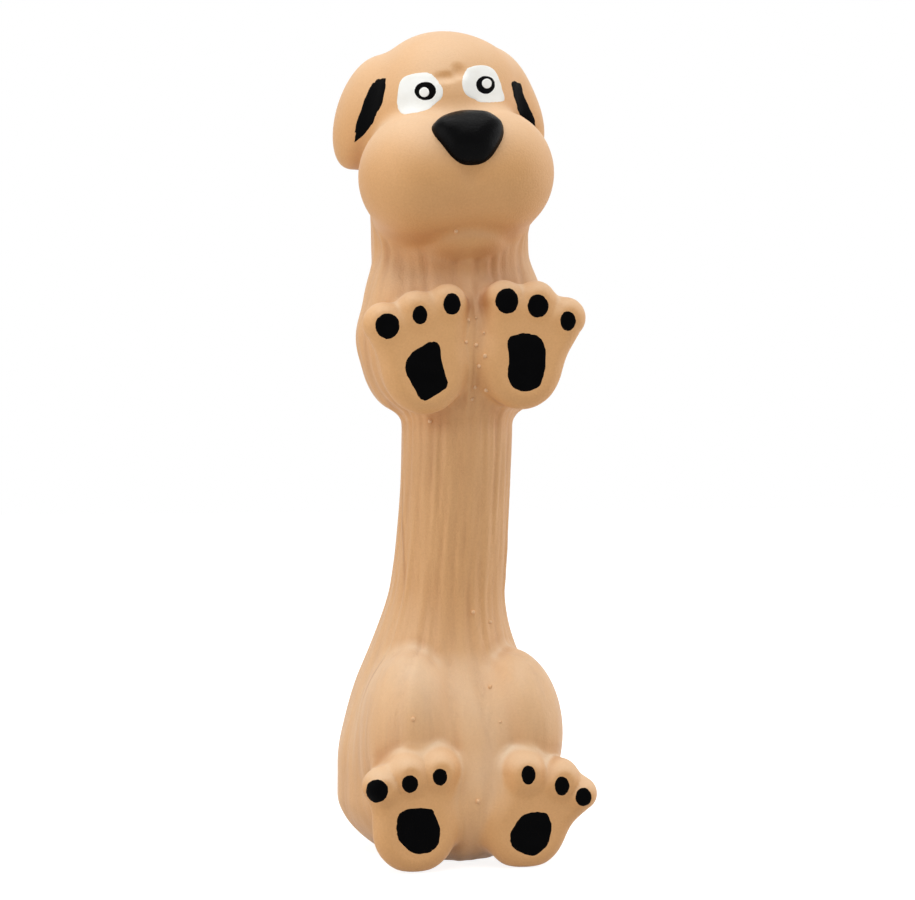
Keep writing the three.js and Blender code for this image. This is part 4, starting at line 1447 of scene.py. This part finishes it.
@dataclass
class MouldNubs:
    """The little vent nubs that the mould leaves on the skin, by the photograph's pixels."""

    painter: Painter
    skin: Skin
    pixels: tuple[Pair, ...] = (
        (473, 612), (490, 622), (413, 719), (490, 687), (478, 801), (476, 345), (479, 366), (475, 387),
        (430, 421), (456, 231), (468, 320), (476, 318), (484, 333), (485, 356), (486, 390), (472, 399),
        (466, 342), (500, 722),
    )
    radius: float = 0.6
    sizes: Pair = (0.7, 1.25)
    # Painted highlight: how pale the nubs are drawn, in place of their highlights.
    paleness: float = 0.6
    seed: int = 3

    def growth(self) -> Growth:
        """Builds the tree that sets a nub of uneven size on each point.

        Returns:
            The tree, with inputs for the radius, the seed and the finish.
        """
        kinds = {"Radius": "NodeSocketFloat", "Seed": "NodeSocketInt", "Finish": "NodeSocketMaterial"}
        tree = Growth("mould_nubs", kinds)
        ball = {"Radius": tree.input("Radius"), "Subdivisions": 3}
        least, most, drawn = 2, 3, 1
        chance = {least: self.sizes[0], most: self.sizes[1], "Seed": tree.input("Seed")}
        placed = {
            "Points": tree.input("Geometry"),
            "Instance": tree.node("GeometryNodeMeshIcoSphere", sockets=ball, output="Mesh"),
            "Scale": tree.node("FunctionNodeRandomValue", {"data_type": "FLOAT"}, chance, drawn),
        }
        mesh = tree.node("GeometryNodeInstanceOnPoints", sockets=placed, output="Instances")
        mesh = tree.node("GeometryNodeRealizeInstances", sockets={"Geometry": mesh})
        mesh = tree.node("GeometryNodeSetShadeSmooth", sockets={"Geometry": mesh})
        # Painted highlight: each nub gets one pale value in the bloom mask.
        pale = {"Geometry": mesh, "Name": "ridge", "Value": self.paleness}
        mesh = tree.node("GeometryNodeStoreNamedAttribute", {"data_type": "FLOAT", "domain": "POINT"}, pale)
        finish = {"Geometry": mesh, "Material": tree.input("Finish")}
        mesh = tree.node("GeometryNodeSetMaterial", sockets=finish)
        tree.node("NodeGroupOutput", sockets={"Geometry": mesh})
        return tree

    def build(self) -> list[bpy.types.Object]:
        """Makes the nubs of each stretch of the skin.

        Returns:
            The finished pieces.
        """
        tree, moulding = self.growth(), self.painter.moulding
        points = np.array([self.painter.hit(*pixel) for pixel in self.pixels])
        values = {"Radius": self.radius * MM, "Seed": self.seed, "Finish": self.skin.material}
        pieces = []
        for plan in self.skin.stretches():
            chosen = points[(points[:, 2] > plan.bottom) & (points[:, 2] <= plan.top)]
            if not len(chosen):
                continue
            piece = new_piece(plan.name.replace("skin", "nubs"), moulding.row(chosen), [])
            tree.run(piece, values)
            plan.fit(piece, moulding)
            pieces.append(piece)
        return pieces


@dataclass
class Squeaker:
    """The press-in squeaker, whose frame pieces keep their shape and get their finish."""

    plastic: tuple[str, ...] = ("whistle_cup", "whistle_cap", "reed_block", "reed_clamp")
    film: tuple[str, ...] = ("reed",)

    def dress(self) -> list[bpy.types.Object]:
        """Gives the plastic and the film their finish.

        Returns:
            The dressed pieces.
        """
        dressed = []
        for names, finish in ((self.plastic, PlasticFinish()), (self.film, FilmFinish())):
            material = finish.material()
            for name in names:
                node = frame["nodes"][name]
                for slot in node.material_slots:
                    slot.material = material
                dressed.append(node)
        return dressed


@dataclass
class Studio:
    """A white sweep under soft boxes: one above, one on each side."""

    floor_half: float = 4.0
    sky: float = 0.33
    top_place: Triple = (-0.2, -0.4, 2.2)
    top_size: float = 2.2
    top_power: float = 37.0
    left_place: Triple = (-1.0, -0.2, 0.35)
    right_place: Triple = (1.0, -0.15, 0.35)
    side_size: float = 0.9
    side_power: float = 4.0
    floor_glow: float = 0.87
    floor_grey: float = 0.45
    floor_bounce: float = 0.57

    def build(self) -> None:
        """Makes the floor, the lamps and the world."""
        half = self.floor_half
        corners = [(-half, -half, 0.0), (half, -half, 0.0), (half, half, 0.0), (-half, half, 0.0)]
        floor = new_piece("studio_floor", np.array(corners), [(0, 1, 2, 3)], smooth=False)
        floor.data.materials.append(self.floor_material())
        self.lamp("top_box", self.top_place, self.top_size, self.top_power)
        self.lamp("left_box", self.left_place, self.side_size, self.side_power)
        self.lamp("right_box", self.right_place, self.side_size, self.side_power)
        self.world()
        bpy.context.scene.view_settings.view_transform = "Standard"

    def lamp(self, name: str, place: Triple, size: float, power: float) -> None:
        """Adds a square soft box that faces the toy.

        Args:
            name: The lamp's name.
            place: Where it stands, in metres.
            size: Its side in metres.
            power: Its power in watts.
        """
        light = bpy.data.lights.new(name, "AREA")
        light.size = size
        light.energy = power
        lamp = bpy.data.objects.new(name, light)
        lamp.location = place
        target = Vector((0.0, 0.0, (CAD_BOX[0].z + CAD_BOX[1].z) / 2))
        lamp.rotation_euler = (target - lamp.location).to_track_quat("-Z", "Y").to_euler()
        bpy.context.scene.collection.objects.link(lamp)

    @staticmethod
    def seen(nodes: Nodes) -> Wire:
        """A factor of 1 for the rays that show the background.

        Args:
            nodes: The tree that needs it.

        Returns:
            The factor for camera, glossy and transmission rays.
        """
        kinds = (f"Is {kind} Ray" for kind in ("Camera", "Glossy", "Transmission"))
        camera, glossy, through = (nodes.node("ShaderNodeLightPath", output=kind) for kind in kinds)
        return camera.math("MAXIMUM", glossy).math("MAXIMUM", through)

    def floor_material(self) -> bpy.types.Material:
        """The pale floor, white to the camera where no shadow falls.

        Returns:
            The material.
        """
        shader = Shader("studio_floor")
        shader.tree.nodes.remove(shader.surface)
        levels = (self.floor_grey, self.floor_bounce)
        grey, pale = ({"Color": (level, level, level, 1.0)} for level in levels)
        matte = shader.node("ShaderNodeBsdfDiffuse", sockets=grey)
        bounce = shader.node("ShaderNodeBsdfDiffuse", sockets=pale)
        glow = shader.node("ShaderNodeEmission", sockets={"Strength": self.floor_glow})
        lit = shader.node("ShaderNodeAddShader", sockets={0: matte, 1: glow})
        mixed = shader.node("ShaderNodeMixShader", sockets={"Fac": self.seen(shader), 1: bounce, 2: lit})
        shader.feed(shader.tree.nodes["Material Output"].inputs["Surface"], mixed)
        return shader.material

    def world(self) -> None:
        """Makes a soft grey sky that shows as white behind the toy."""
        world = bpy.data.worlds.new("studio_world")
        world.use_nodes = True
        bpy.context.scene.world = world
        nodes = Nodes(world.node_tree)
        nodes.tree.nodes.clear()
        white = (1.0, 1.0, 1.0, 1.0)
        sky = nodes.node("ShaderNodeBackground", sockets={"Color": white, "Strength": self.sky})
        backdrop = nodes.node("ShaderNodeBackground", sockets={"Color": white, "Strength": 1.0})
        mixed = nodes.node("ShaderNodeMixShader", sockets={"Fac": self.seen(nodes), 1: sky, 2: backdrop})
        nodes.node("ShaderNodeOutputWorld", sockets={"Surface": mixed})


def main() -> None:
    """Builds the toy from its skin to its paint, then its squeaker, in the studio."""
    logging.basicConfig(level=logging.INFO, format="%(name)s: %(message)s")
    camera = PhotoCamera()
    camera.build()
    Studio().build()
    moulding = Moulding()
    skin = Skin(moulding, LatexFinish().material())
    painter = Painter(moulding, camera)
    pieces = skin.build()
    pieces += [painter.paint(patch) for patch in (*paw_patches(), *face_patches())]
    pieces += MouldNubs(painter, skin).build()
    pieces += Squeaker().dress()
    for piece in pieces:
        log.info("%s: %d faces", piece.name, len(piece.data.polygons))


if __name__ == "__main__":
    main()
